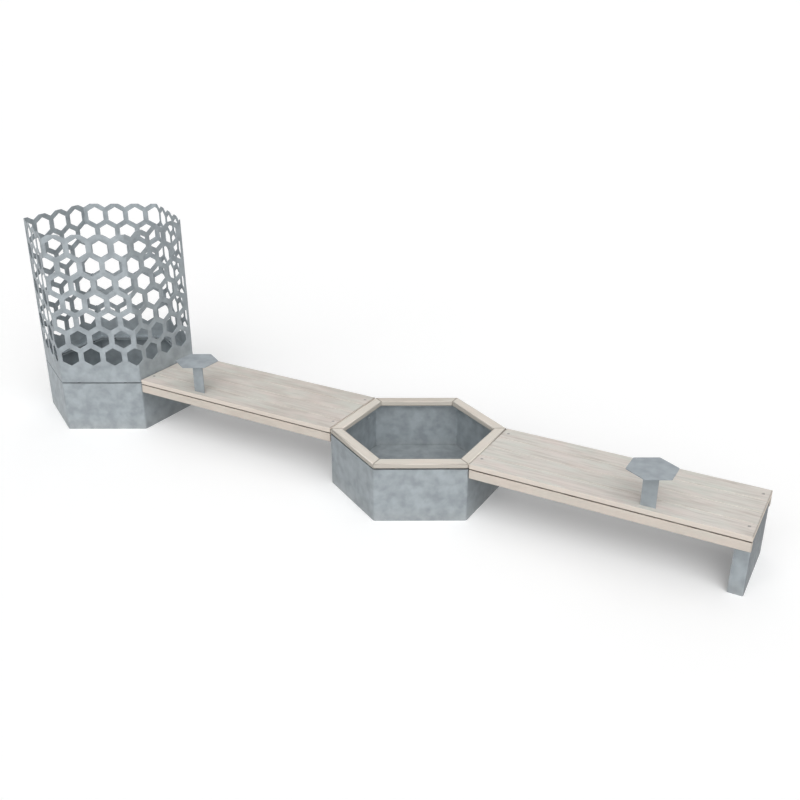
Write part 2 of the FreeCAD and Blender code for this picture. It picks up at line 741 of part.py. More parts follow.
def table_stem():
    """A flat upright plate through the planks, with a welded head plate under the table top."""
    head_top = TABLE_HEIGHT - TABLE_PLATE
    head_bottom = head_top - TABLE_PLATE
    half_x = STEM_WIDTH / 2
    half_y = STEM_SHEET / 2
    web = box(-half_x, half_x, -half_y, half_y, STEM_FOOT, head_bottom)
    reach_x = HEAD_PLATE_LENGTH / 2
    reach_y = HEAD_PLATE_WIDTH / 2
    head = box(-reach_x, reach_x, -reach_y, reach_y, head_bottom, head_top)
    drills = [rod(x, y, head_bottom - 1, STUD + HOLE_CLEARANCE, TABLE_PLATE + 2)
              for x, y in stud_places()]
    drills += [rod(x, -STEM_SHEET, z, STEM_BOLT + HOLE_CLEARANCE, 2 * STEM_SHEET, (0, 1, 0))
               for x, z in stem_bolt_places()]
    return web.fuse(head).removeSplitter().cut(drills)


def table_top():
    """A six-sided plate with four studs welded under it."""
    under = TABLE_HEIGHT - TABLE_PLATE
    plate = hex_prism(TABLE_SIDE * COS30, TABLE_CORNER, under, TABLE_HEIGHT)
    length = TABLE_PLATE + STUD * (NUT_THICKNESS_FACTOR + 1)
    studs = [rod(x, y, under, STUD, length, (0, 0, -1)) for x, y in stud_places()]
    return plate.fuse(studs).removeSplitter()


def bench(table_distance, has_leg):
    """The pieces of one bench, drawn to the right of a planter."""
    far_end = BENCH_LENGTH if has_leg else BENCH_LENGTH - END_GAP
    frame_end = BENCH_LENGTH - LEG_RECESS - LEG_SHEET if has_leg else BENCH_LENGTH - END_PLATE
    nodes = {}
    for index in range(PLANKS):
        nodes["plank_%d" % (index + 1)] = plank(index, far_end, table_distance)
    nodes["fascia_front"] = fascia(-1, far_end)
    nodes["fascia_back"] = fascia(1, far_end)
    nodes["beam_front"] = beam_with_stem_holes(END_PLATE, frame_end, table_distance)
    nodes["beam_back"] = beam(1, END_PLATE, frame_end)
    nodes["cross_bars"] = cross_bars()
    nodes["end_plate"] = end_plate()
    if has_leg:
        nodes["leg"] = leg()
    else:
        nodes["far_end_plate"] = moved(end_plate(), x=BENCH_LENGTH - END_PLATE)
    nodes["table_stem"] = moved(table_stem(), table_distance, stem_middle())
    nodes["table_top"] = moved(table_top(), table_distance, stem_middle())
    return nodes


def bench_fasteners(table_distance, has_leg):
    """The fasteners of one bench, as lists of solids by name."""
    found = {}
    bar_bottom = FRAME_TOP
    bolt_length = SEAT_HEIGHT - bar_bottom + PLANK_BOLT * (NUT_THICKNESS_FACTOR + 1)
    bolted = plank_fixings(True)
    found["plank_bolts"] = [moved(dome_bolt(bolt_length), x, y, SEAT_HEIGHT) for x, y, _ in bolted]
    drop = PLANK_BOLT * NUT_THICKNESS_FACTOR
    found["plank_nuts"] = [moved(nut(PLANK_BOLT), x, y, bar_bottom - drop) for x, y, _ in bolted]
    found["plank_screws"] = [moved(screw(SHADOW_GAP + SCREW_BITE), x, y, bar_bottom)
                             for x, y, _ in plank_fixings(False)]
    inner = BENCH_WIDTH / 2 - FASCIA_THICKNESS - SHADOW_GAP
    side_screw = along_y(screw(SHADOW_GAP + FASCIA_THICKNESS - 2 * SCREW))
    height = fascia_screw_height()
    back = [moved(side_screw, x, inner, height) for x in bar_places()]
    found["fascia_screws"] = back + [item.mirror(vec(0, 0, 0), vec(0, 1, 0)) for item in back]
    length = END_PLATE + SHEET + FRAME_BOLT * (NUT_THICKNESS_FACTOR + 1)
    near = along_x(bolt(FRAME_BOLT, length), -1)
    near_nut = along_x(nut(FRAME_BOLT), -1)
    found["frame_bolts"] = [moved(near, END_PLATE, y, z) for y, z in frame_bolt_places()]
    found["frame_nuts"] = [moved(near_nut, -SHEET, y, z) for y, z in frame_bolt_places()]
    if not has_leg:
        far = along_x(bolt(FRAME_BOLT, length), 1)
        far_nut = along_x(nut(FRAME_BOLT), 1)
        start = BENCH_LENGTH - END_PLATE
        found["frame_bolts"] += [moved(far, start, y, z) for y, z in frame_bolt_places()]
        end = BENCH_LENGTH + SHEET
        found["frame_nuts"] += [moved(far_nut, end, y, z) for y, z in frame_bolt_places()]
    span = STEM_SHEET + BEAM_WIDTH
    stem_bolt = along_y(bolt(STEM_BOLT, span + STEM_BOLT * (NUT_THICKNESS_FACTOR + 1)))
    stem_nut = along_y(nut(STEM_BOLT))
    front = stem_middle() - STEM_SHEET / 2
    found["stem_bolts"] = [moved(stem_bolt, table_distance + x, front, z)
                           for x, z in stem_bolt_places()]
    found["stem_nuts"] = [moved(stem_nut, table_distance + x, front + span, z)
                          for x, z in stem_bolt_places()]
    under = TABLE_HEIGHT - 2 * TABLE_PLATE - STUD * NUT_THICKNESS_FACTOR
    found["table_nuts"] = [moved(nut(STUD), table_distance + x, stem_middle() + y, under)
                           for x, y in stud_places()]
    return found


def benches():
    """Bench 2 runs to the right of the low planter, bench 1 is its mirror image to the left."""
    nodes = {}
    right_face = CENTRE_X + APOTHEM
    left_face = CENTRE_X - APOTHEM
    for name, shape in bench(TABLE_2_DISTANCE, True).items():
        label = "bench_leg" if name == "leg" else "bench_2_" + name
        nodes[label] = moved(shape, x=right_face)
    for name, shape in bench(TABLE_1_DISTANCE, False).items():
        nodes["bench_1_" + name] = moved(flipped(shape), x=left_face)
    right = bench_fasteners(TABLE_2_DISTANCE, True)
    left = bench_fasteners(TABLE_1_DISTANCE, False)
    for name in right:
        solids = [moved(shape, x=right_face) for shape in right[name]]
        solids += [moved(flipped(shape), x=left_face) for shape in left[name]]
        nodes[name] = group(solids)
    return nodes


def main():
    os.makedirs("parts", exist_ok=True)
    nodes = {}
    nodes.update(screen_planter())
    nodes.update(centre_planter())
    nodes.update(benches())
    for name, shape in sorted(nodes.items()):
        assert shape.isValid(), name
        shape.exportStep(os.path.join("parts", name + ".step"))
        print("%-26s solids %2d  volume %12.0f" % (name, len(shape.Solids), shape.Volume))
    whole = Part.makeCompound(list(nodes.values())).BoundBox
    print("nodes", len(nodes))
    print("size %.1f x %.1f x %.1f" % (whole.XLength, whole.YLength, whole.ZLength))
    print("x %.2f to %.2f, y %.2f to %.2f, z %.2f" % (whole.XMin, whole.XMax, whole.YMin,
                                                    whole.YMax, whole.ZMin))


if __name__ == "__main__":
    main()
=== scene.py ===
"""Bench with planter: its finishes, its detailed boards, screen and fasteners, and a plain studio.

All sizes are in metres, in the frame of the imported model. The screen is cut flat and then
folded, as a metal shop makes it; boards and fasteners are one shape each, repeated by rule.
"""

from __future__ import annotations

import logging
import math
import sys
from collections.abc import Iterable, Sequence
from dataclasses import dataclass, field
from enum import Enum

import bmesh
import bpy
from mathutils import Matrix, Vector


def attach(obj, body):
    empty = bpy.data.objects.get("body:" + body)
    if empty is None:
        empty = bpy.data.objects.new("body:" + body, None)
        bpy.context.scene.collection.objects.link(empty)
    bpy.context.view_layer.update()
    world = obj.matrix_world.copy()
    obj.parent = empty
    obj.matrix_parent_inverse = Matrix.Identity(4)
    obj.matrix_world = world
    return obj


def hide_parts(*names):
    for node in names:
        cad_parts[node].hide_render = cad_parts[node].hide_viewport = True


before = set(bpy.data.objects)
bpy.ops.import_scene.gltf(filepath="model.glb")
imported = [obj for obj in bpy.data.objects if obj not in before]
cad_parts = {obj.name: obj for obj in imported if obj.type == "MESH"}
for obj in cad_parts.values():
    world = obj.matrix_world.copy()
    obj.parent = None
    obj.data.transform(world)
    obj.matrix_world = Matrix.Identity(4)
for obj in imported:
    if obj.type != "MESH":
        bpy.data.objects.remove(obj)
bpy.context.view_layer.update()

LOG = logging.getLogger("bench_with_planter")
Point = tuple[float, float, float]
Colour = tuple[float, float, float]
Outline = Sequence[tuple[float, float]]
Mesh = bpy.types.Mesh
Material = bpy.types.Material
Node = bpy.types.Node
Socket = bpy.types.NodeSocket
Source = Node | Socket

SIXTH = math.pi / 3
COS30 = math.cos(math.pi / 6)
TAN30 = math.tan(math.pi / 6)
UP = (0.0, 0.0, 1.0)
ROUNDING_STEPS = 4
NARROW_SHARE = 1.2
SAME_PLACE = 1e-6
SIDES = ("right", "back_right", "back_left", "left", "front_left", "front_right")

SURFACE = {"Color": "Color", "Roughness": "Float", "Height": "Float"}
TINT = {"Color": "Color"}


class Kind(Enum):
    """The two kinds of node tree that this script builds."""

    GEOMETRY = "GeometryNodeTree"
    SHADER = "ShaderNodeTree"


class Head(Enum):
    """The shapes that a fastener's outer end has."""

    DOME = "dome"
    HEXAGON = "hexagon"
    CONE = "cone"
    NUT = "nut"


def colour4(colour: Colour) -> tuple[float, float, float, float]:
    """Return a colour with full opacity."""
    return (*colour, 1.0)


def socket_type(start: object) -> str:
    """Name the type of socket that holds a value, or that a word stands for.

    Args:
        start: A value, or a word such as Geometry.

    Returns:
        The type's full name.
    """
    if isinstance(start, tuple):
        return "NodeSocketColor" if len(start) == 4 else "NodeSocketVector"
    return "NodeSocket" + (start if isinstance(start, str) else type(start).__name__.title())


class Sheet:
    """A node tree under construction, with named sockets and one call for each node.

    Where a call takes a node, that node's first output is meant.
    """

    def __init__(self, tree: bpy.types.NodeTree) -> None:
        """Take over an existing tree, such as a material's own."""
        self.tree = tree
        self.identifiers: dict[str, str] = {}
        self.given: bpy.types.NodeOutputs | None = None

    @classmethod
    def new(cls, name: str, kind: Kind, gives: dict[str, str], takes: dict[str, object]) -> Sheet:
        """Start a tree with named inputs and outputs.

        Args:
            name: The tree's name.
            kind: What the tree works on.
            gives: The socket type of each output.
            takes: The starting value of each input, or its socket type.

        Returns:
            The tree, with its inputs in given.
        """
        sheet = cls(bpy.data.node_groups.new(name, kind.value))
        sockets = sheet.tree.interface
        for label, start in takes.items():
            item = sockets.new_socket(label, in_out="INPUT", socket_type=socket_type(start))
            sheet.identifiers[label] = item.identifier
            if not isinstance(start, str):
                item.default_value = start
        for label, word in gives.items():
            sockets.new_socket(label, in_out="OUTPUT", socket_type=socket_type(word))
        sheet.given = sheet.add("NodeGroupInput").outputs
        return sheet

    def feed(self, node: Node, inputs: dict) -> Node:
        """Set or link inputs of a node.

        Args:
            node: The node.
            inputs: A value, a node, an output or a list of these for each input, by name or by position.

        Returns:
            The same node.
        """
        for key, value in inputs.items():
            for source in value if isinstance(value, list) else [value]:
                if isinstance(source, Node):
                    source = source.outputs[0]
                if isinstance(source, Socket):
                    self.tree.links.new(source, node.inputs[key])
                else:
                    node.inputs[key].default_value = source
        return node

    def add(self, kind: str, *first: object, **named: object) -> Node:
        """Add a node.

        Args:
            kind: The node's type.
            first: What goes into its first inputs, in their order.
            named: What goes into inputs by name, with _ for a space. A name in small letters is a
                setting of the node itself.

        Returns:
            The new node.
        """
        node = self.tree.nodes.new(kind)
        inputs: dict = dict(enumerate(first))
        for key, value in named.items():
            if key.islower():
                setattr(node, key, value)
            else:
                inputs[key.replace("_", " ")] = value
        return self.feed(node, inputs)

    def math(self, operation: str, *values: object) -> Node:
        """Work through some values in their order.

        Args:
            operation: The Math node's operation.
            values: One value, or two or more.

        Returns:
            The last Math node.
        """
        result = values[0]
        for value in values[1:] or (0.0,):
            result = self.add("ShaderNodeMath", result, value, operation=operation)
        return result

    def vector(self, operation: str, first: object, second: object) -> Node:
        """Add a Vector Math node of two vectors."""
        return self.add("ShaderNodeVectorMath", first, second, operation=operation)

    def scaled(self, first: object, factor: object) -> Node:
        """Add a Vector Math node that makes a vector longer or shorter."""
        return self.add("ShaderNodeVectorMath", first, Scale=factor, operation="SCALE")

    def mix(self, share: object, first: object, second: object) -> Socket:
        """Mix two colours and return the result."""
        mixer = self.add("ShaderNodeMix", data_type="RGBA")
        return self.feed(mixer, {0: share, 6: first, 7: second}).outputs[2]

    def range(self, value: object, low: float, high: float, start: float = 0.0, end: float = 1.0) -> Node:
        """Map a value from one range to another, clamped."""
        return self.add("ShaderNodeMapRange", value, low, high, start, end)

    def noise(self, place: object, scale: object, detail: float, **more: float) -> Node:
        """Add a noise texture, whose first output is its value."""
        return self.add("ShaderNodeTexNoise", Vector=place, Scale=scale, Detail=detail, **more)

    def here(self) -> Socket:
        """Object coordinates of the shaded place."""
        return self.add("ShaderNodeTexCoord").outputs["Object"]

    def lay(self, group: Sheet, finish: Finish, **linked: object) -> Node:
        """Put in a shader group with the values of a finish.

        Args:
            group: The group.
            finish: The finish, whose fields fill the inputs that have their names.
            linked: What goes into other inputs.

        Returns:
            The group's node.
        """
        own = {}
        for name in group.identifiers:
            value = getattr(finish, name.lower().replace(" ", "_"), None)
            if value is not None:
                own[name] = colour4(value) if isinstance(value, tuple) else value
        return self.feed(self.add("ShaderNodeGroup", node_tree=group.tree, **linked), own)

    def store(self, shape: object, name: str, value: object, kind: str, domain: str = "POINT") -> Node:
        """Keep a value on each point or instance of a shape, under a name."""
        kept = {"Geometry": shape, "Name": name, "Value": value}
        return self.feed(self.add("GeometryNodeStoreNamedAttribute", data_type=kind, domain=domain), kept)

    def stored(self, name: str, kind: str = "FLOAT_VECTOR") -> Node:
        """Read a value that a shape keeps under a name."""
        return self.add("GeometryNodeInputNamedAttribute", Name=name, data_type=kind)

    def random(self, low: object, high: object) -> Socket:
        """Draw a number for each point, from the tree's own seed.

        Args:
            low: The lowest number.
            high: The highest number.

        Returns:
            The number.
        """
        index = self.add("GeometryNodeInputIndex")
        draw = self.add("FunctionNodeRandomValue", ID=index, Seed=self.given["Seed"], data_type="FLOAT")
        return self.feed(draw, {2: low, 3: high}).outputs[1]

    def moved(self, shape: object, **how: object) -> Node:
        """Move, turn or scale a shape."""
        return self.add("GeometryNodeTransform", Geometry=shape, **how)

    def cut(self, shape: object, tools: object, crossing: bool = False) -> Node:
        """Cut some tools, which may cross each other, out of a shape."""
        kept = {"Mesh 1": shape, "Mesh 2": tools, "Self Intersection": crossing}
        return self.feed(self.add("GeometryNodeMeshBoolean", operation="DIFFERENCE", solver="EXACT"), kept)

    def end(self, shape: object) -> None:
        """Put out a shape as plain geometry, in the tree's own finish.

        Args:
            shape: The shape.
        """
        real = self.add("GeometryNodeRealizeInstances", Geometry=shape)
        done = self.add("GeometryNodeSetMaterial", Geometry=real, Material=self.given["Finish"])
        self.add("NodeGroupOutput", done)


def build_spangle() -> Sheet:
    """Shader group for hot-dip zinc: crystal patches, soft clouds and fine roughness.

    Returns:
        The group, which puts out Color, Roughness and Height.
    """
    takes = {
        "Pale": (0.6, 0.6, 0.6, 1.0),
        "Dark": (0.4, 0.4, 0.4, 1.0),
        "Crystal Scale": 60.0,
        "Cloud Scale": 9.0,
        "Cloud Share": 0.6,
        "Roughness": 0.5,
        "Roughness Spread": 0.1,
    }
    sheet = Sheet.new("zinc_spangle", Kind.SHADER, SURFACE, takes)
    given = sheet.given
    warp_scale, warp_reach = 22.0, 0.018
    fine_scale, fine_depth = 420.0, 0.35
    place = sheet.here()
    warp = sheet.scaled(sheet.noise(place, warp_scale, 2.0).outputs["Color"], warp_reach)
    bent = sheet.vector("ADD", place, warp)
    crystals = sheet.add("ShaderNodeTexVoronoi", Vector=bent, Scale=given["Crystal Scale"])
    grey = sheet.add("ShaderNodeSeparateColor", crystals.outputs["Color"])
    clouds = sheet.noise(place, given["Cloud Scale"], 2.5, Roughness=0.45, Distortion=0.15)
    cloudy = sheet.math("MULTIPLY", sheet.range(clouds, 0.33, 0.67), given["Cloud Share"])
    speckled = sheet.math("MULTIPLY", grey, sheet.math("SUBTRACT", 1.0, given["Cloud Share"]))
    mottle = sheet.math("ADD", cloudy, speckled)
    spread = sheet.math("MULTIPLY", sheet.math("SUBTRACT", grey, 0.5), given["Roughness Spread"])
    fine = sheet.math("MULTIPLY", sheet.noise(place, fine_scale, 3.0), fine_depth)
    colour = sheet.mix(mottle, given["Dark"], given["Pale"])
    rough = sheet.math("ADD", given["Roughness"], spread)
    height = sheet.math("ADD", fine, sheet.math("MULTIPLY", mottle, 1.0 - fine_depth))
    sheet.add("NodeGroupOutput", Color=colour, Roughness=rough, Height=height)
    return sheet


def build_grain() -> Sheet:
    """Shader group for sawn and weathered timber, with its grain along the first axis.

    Returns:
        The group, which puts out Color, Roughness and Height.
    """
    takes = {
        "Vector": "Vector",
        "Tone": 0.5,
        "Pale": (0.7, 0.65, 0.6, 1.0),
        "Dark": (0.4, 0.35, 0.3, 1.0),
        "Grey": (0.6, 0.6, 0.6, 1.0),
        "Blush": (0.7, 0.6, 0.55, 1.0),
        "Grain Share": 0.4,
        "Tone Share": 0.3,
        "Grey Share": 0.3,
        "Blush Share": 0.2,
        "Pore Share": 0.12,
        "Roughness": 0.7,
    }
    sheet = Sheet.new("timber_grain", Kind.SHADER, SURFACE, takes)
    given = sheet.given

    def streaks(stretch: Point, detail: float, **more: float) -> Node:
        """Noise drawn out along the board."""
        return sheet.noise(sheet.vector("MULTIPLY", given["Vector"], stretch), 1.0, detail, **more)

    broad = sheet.range(streaks((2.8, 42.0, 42.0), 3.0, Roughness=0.6, Distortion=0.6), 0.45, 0.64)
    fine = sheet.range(streaks((6.0, 170.0, 170.0), 4.0, Roughness=0.6, Distortion=0.3), 0.35, 0.65)
    pores = sheet.range(streaks((28.0, 900.0, 900.0), 2.0, Roughness=0.6), 0.5, 0.72)
    greying = sheet.range(streaks((3.2, 9.0, 9.0), 2.0, Roughness=0.6, Distortion=0.2), 0.42, 0.68)
    elsewhere = sheet.vector("ADD", given["Vector"], (31.0, 17.0, 5.0))
    blotches = sheet.noise(sheet.vector("MULTIPLY", elsewhere, (3.8, 11.0, 11.0)), 1.0, 2.0)
    blushing = sheet.range(blotches, 0.46, 0.7)
    lines = sheet.math("ADD", sheet.math("MULTIPLY", broad, 0.6), sheet.math("MULTIPLY", fine, 0.4))
    colour = given["Pale"]
    layers = (
        (lines, given["Grain Share"], given["Dark"]),
        (given["Tone"], given["Tone Share"], given["Dark"]),
        (greying, given["Grey Share"], given["Grey"]),
        (blushing, given["Blush Share"], given["Blush"]),
        (pores, given["Pore Share"], given["Dark"]),
    )
    for pattern, share, tint in layers:
        colour = sheet.mix(sheet.math("MULTIPLY", pattern, share), colour, tint)
    rough = sheet.math("ADD", given["Roughness"], sheet.math("MULTIPLY", fine, 0.1))
    height = sheet.math("SUBTRACT", 1.0, sheet.math("MULTIPLY", fine, 0.6), pores)
    sheet.add("NodeGroupOutput", Color=colour, Roughness=rough, Height=height)
    return sheet


def build_stain() -> Sheet:
    """Shader group that darkens a level band: dust near the ground on the steel, and painted shade in the
    gap under the planks.

    Returns:
        The group, which puts out Color.
    """
    takes = {
        "Color": "Color",
        "Stain": (0.5, 0.47, 0.43, 1.0),
        "Stain Level": 0.0,
        "Stain Reach": 0.12,
        "Stain Amount": 0.3,
        "Patch Scale": 13.0,
    }
    sheet = Sheet.new("level_stain", Kind.SHADER, TINT, takes)
    given = sheet.given
    place = sheet.here()
    height = sheet.add("ShaderNodeSeparateXYZ", place).outputs["Z"]
    patches = sheet.range(sheet.noise(place, given["Patch Scale"], 4.0), 0.3, 0.7, 0.35, 1.0)
    away = sheet.math("ABSOLUTE", sheet.math("SUBTRACT", height, given["Stain Level"]))
    fade = sheet.math("SUBTRACT", 1.0, sheet.math("DIVIDE", away, given["Stain Reach"]))
    share = sheet.math("MULTIPLY", sheet.add("ShaderNodeClamp", fade), patches, given["Stain Amount"])
    sheet.add("NodeGroupOutput", Color=sheet.mix(share, given["Color"], given["Stain"]))
    return sheet


def build_joint_dirt() -> Sheet:
    """Shader group for the dark dirt at a board's ends and, more faintly, along its sides.

    Returns:
        The group, which puts out Color.
    """
    takes = {
        "Color": "Color",
        "Joint": "Vector",
        "Stain": (0.1, 0.07, 0.05, 1.0),
        "End Reach": 0.008,
        "End Dirt": 0.6,
        "Side Start": 0.95,
        "Side Blur": 0.02,
        "Side Dirt": 0.3,
    }
    sheet = Sheet.new("joint_dirt", Kind.SHADER, TINT, takes)
    given = sheet.given
    ways = sheet.add("ShaderNodeSeparateXYZ", given["Joint"]).outputs
    nearest = sheet.math("MINIMUM", ways["X"], ways["Y"])
    fade = sheet.math("SUBTRACT", 1.0, sheet.math("DIVIDE", nearest, given["End Reach"]))
    ends = sheet.math("MULTIPLY", sheet.add("ShaderNodeClamp", fade), given["End Dirt"])
    past = sheet.math("SUBTRACT", sheet.math("ABSOLUTE", ways["Z"]), given["Side Start"])
    outward = sheet.add("ShaderNodeClamp", sheet.math("DIVIDE", past, given["Side Blur"]))
    sides = sheet.math("MULTIPLY", outward, given["Side Dirt"])
    share = sheet.math("MAXIMUM", ends, sides)
    sheet.add("NodeGroupOutput", Color=sheet.mix(share, given["Color"], given["Stain"]))
    return sheet


def build_planed_side() -> Sheet:
    """Shader group that paints a board's sideways faces, its sides and ends, in another colour: painted
    light on the planks, painted shade on the rim.

    Returns:
        The group, which puts out Color.
    """
    takes = {"Color": "Color", "Side": (0.8, 0.7, 0.6, 1.0), "Side Share": 0.0}
    sheet = Sheet.new("planed_side", Kind.SHADER, TINT, takes)
    given = sheet.given
    normal = sheet.add("ShaderNodeTexCoord").outputs["Normal"]
    upward = sheet.math("ABSOLUTE", sheet.add("ShaderNodeSeparateXYZ", normal).outputs["Z"])
    share = sheet.math("MULTIPLY", sheet.range(upward, 0.3, 0.75, 1.0, 0.0), given["Side Share"])
    sheet.add("NodeGroupOutput", Color=sheet.mix(share, given["Color"], given["Side"]))
    return sheet


def build_run_off() -> Sheet:
    """Shader group for painted shade: dark, broken streaks on the part of a plate past a plane across x,
    darker towards the top.

    Returns:
        The group, which puts out Color.
    """
    takes = {
        "Color": "Color",
        "Run Off": 0.0,
        "Run Off Stain": (0.1, 0.1, 0.1, 1.0),
        "Run Off Plane": 0.0,
        "Run Off Blur": 0.004,
        "Run Off Top": 0.4,
    }
    sheet = Sheet.new("run_off", Kind.SHADER, TINT, takes)
    given = sheet.given
    place = sheet.here()
    axes = sheet.add("ShaderNodeSeparateXYZ", place).outputs
    streaks = sheet.noise(sheet.vector("MULTIPLY", place, (30.0, 30.0, 2.0)), 1.0, 3.0)
    broken = sheet.range(streaks, 0.35, 0.65, 0.75, 1.0)
    past = sheet.math("SUBTRACT", axes["X"], given["Run Off Plane"])
    outside = sheet.math("DIVIDE", past, given["Run Off Blur"])
    fade = sheet.range(sheet.math("DIVIDE", axes["Z"], given["Run Off Top"]), 0.0, 1.0, 0.55, 1.0)
    share = sheet.math("MULTIPLY", sheet.add("ShaderNodeClamp", outside), fade, broken, given["Run Off"])
    sheet.add("NodeGroupOutput", Color=sheet.mix(share, given["Color"], given["Run Off Stain"]))
    return sheet


@dataclass(frozen=True)
class GroupShelf:
    """The shader groups that the finishes share."""

    spangle: Sheet = field(default_factory=build_spangle)
    grain: Sheet = field(default_factory=build_grain)
    # the level band group: dust near the ground on the steel, and painted shade in the gap under the planks
    stain: Sheet = field(default_factory=build_stain)
    joint_dirt: Sheet = field(default_factory=build_joint_dirt)
    planed_side: Sheet = field(default_factory=build_planed_side)
    run_off: Sheet = field(default_factory=build_run_off)


def start_material(name: str) -> tuple[Material, Sheet, Node]:
    """Make a material with a bare Principled shader.

    Args:
        name: The material's name.

    Returns:
        The material, its tree and its shader node.
    """
    material = bpy.data.materials.new(name)
    material.use_nodes = True
    sheet = Sheet(material.node_tree)
    sheet.tree.nodes.clear()
    shader = sheet.add("ShaderNodeBsdfPrincipled")
    sheet.add("ShaderNodeOutputMaterial", Surface=shader)
    return material, sheet, shader


@dataclass(frozen=True, kw_only=True)
class Finish:
    """What every finish has: a name, the strength of its shine and the depth of its relief."""

    name: str
    metallic: float = 0.0
    specular: float = 0.5
    relief: float = 0.0003

    def surface(self, sheet: Sheet, groups: GroupShelf) -> Sequence[Source]:
        """Lay out the surface's colour, roughness and height, which each finish does its own way."""
        raise NotImplementedError

    def material(self, groups: GroupShelf) -> Material:
        """Build the material.

        Args:
            groups: The shader groups.

        Returns:
            The material.
        """
        material, sheet, shader = start_material(self.name)
        colour, roughness, height = self.surface(sheet, groups)
        bump = sheet.add("ShaderNodeBump", Height=height, Strength=1.0, Distance=self.relief)
        inputs = {
            "Base Color": colour,
            "Roughness": roughness,
            "Normal": bump,
            "Metallic": self.metallic,
            "Specular IOR Level": self.specular,
        }
        sheet.feed(shader, inputs)
        return material


@dataclass(frozen=True, kw_only=True)
class ZincFinish(Finish):
    """Hot-dip galvanised sheet: matt, mottled blue-grey, dusty near the ground."""

    name: str = "galvanised_sheet"
    metallic: float = 0.3
    relief: float = 0.0004
    pale: Colour = (0.396, 0.438, 0.462)
    dark: Colour = (0.276, 0.306, 0.326)
    crystal_scale: float = 48.0
    cloud_scale: float = 13.0
    cloud_share: float = 0.78
    roughness: float = 0.55
    roughness_spread: float = 0.14
    stain_amount: float = 0.2
    # The three fields below paint shade on the bench leg's end plate, past a plane across x.
    run_off: float = 0.0
    run_off_stain: Colour = (0.035, 0.042, 0.05)
    run_off_plane: float = 2.994

    def surface(self, sheet: Sheet, groups: GroupShelf) -> Sequence[Source]:
        """Lay out crystals, then dust near the ground and painted shade on the leg's end plate over them.

        Args:
            sheet: The material's tree.
            groups: The shader groups.

        Returns:
            Colour, roughness and height.
        """
        spangle = sheet.lay(groups.spangle, self)
        dusty = sheet.lay(groups.stain, self, Color=spangle)
        return [sheet.lay(groups.run_off, self, Color=dusty), *spangle.outputs[1:]]


@dataclass(frozen=True, kw_only=True)
class TimberFinish(Finish):
    """Pale unvarnished timber, greyed by weather, with the grain along each board."""

    specular: float = 0.3
    pale: Colour
    dark: Colour
    grey: Colour
    blush: Colour
    grain_share: float = 0.55
    tone_share: float = 0.45
    grey_share: float = 0.55
    blush_share: float = 0.5
    roughness: float = 0.68
    # stain colours both the dark dirt at board ends and the painted shade in the gap under the planks; the
    # three band settings below place that painted shade
    stain: Colour = (0.10, 0.065, 0.04)
    stain_level: float = 0.4087
    stain_reach: float = 0.0056
    stain_amount: float = 5.0
    patch_scale: float = 14.0
    end_reach: float = 0.010
    end_dirt: float = 0.6
    side_dirt: float = 0.0
    # The two fields below paint a board's sideways faces in another colour: painted light on the planks,
    # painted shade on the rim.
    side: Colour = (0.82, 0.735, 0.65)
    side_share: float = 0.0

    def surface(self, sheet: Sheet, groups: GroupShelf) -> Sequence[Source]:
        """Lay out each board's own grain and tone, then dirt at its joints, painted light (planks) or
        painted shade (rim) on its sideways faces, and painted shade in the gap under the planks.

        Args:
            sheet: The material's tree.
            groups: The shader groups.

        Returns:
            Colour, roughness and height.
        """
        kept = {}
        for name in ("grain", "tone", "joint"):
            kept[name] = sheet.add("ShaderNodeAttribute", attribute_name=name).outputs
        grain = sheet.lay(groups.grain, self, Vector=kept["grain"]["Vector"], Tone=kept["tone"]["Fac"])
        dirty = sheet.lay(groups.joint_dirt, self, Color=grain, Joint=kept["joint"]["Vector"])
        sided = sheet.lay(groups.planed_side, self, Color=dirty)
        return [sheet.lay(groups.stain, self, Color=sided), *grain.outputs[1:]]


@dataclass(frozen=True, kw_only=True)
class FastenerFinish(Finish):
    """Dulled steel with fine scratches, plain or dipped in zinc."""

    name: str = "dull_stainless"
    metallic: float = 0.8
    relief: float = 0.00005
    pale: Colour = (0.40, 0.39, 0.37)
    dark: Colour = (0.20, 0.19, 0.18)
    crystal_scale: float = 900.0
    cloud_scale: float = 240.0
    cloud_share: float = 0.7
    roughness: float = 0.4
    roughness_spread: float = 0.2

    def surface(self, sheet: Sheet, groups: GroupShelf) -> Sequence[Source]:
        """Lay out fine crystals alone: colour, roughness and height."""
        return sheet.lay(groups.spangle, self).outputs[:]


@dataclass(frozen=True, kw_only=True)
class RubberFinish(Finish):
    """Matt black rubber with a little grey bloom."""

    name: str = "black_rubber"
    relief: float = 0.0002
    black: Colour = (0.022, 0.022, 0.024)
    bloom: Colour = (0.075, 0.075, 0.078)

    def surface(self, sheet: Sheet, groups: GroupShelf) -> Sequence[Source]:
        """Lay out patches of bloom.

        Args:
            sheet: The material's tree.
            groups: The shader groups, of which it needs none.

        Returns:
            Colour, roughness and height.
        """
        noise = sheet.noise(sheet.here(), 160.0, 5.0)
        bloom = sheet.mix(sheet.range(noise, 0.4, 0.75), colour4(self.black), colour4(self.bloom))
        return [bloom, sheet.range(noise, 0.3, 0.7, 0.75, 0.95), noise]


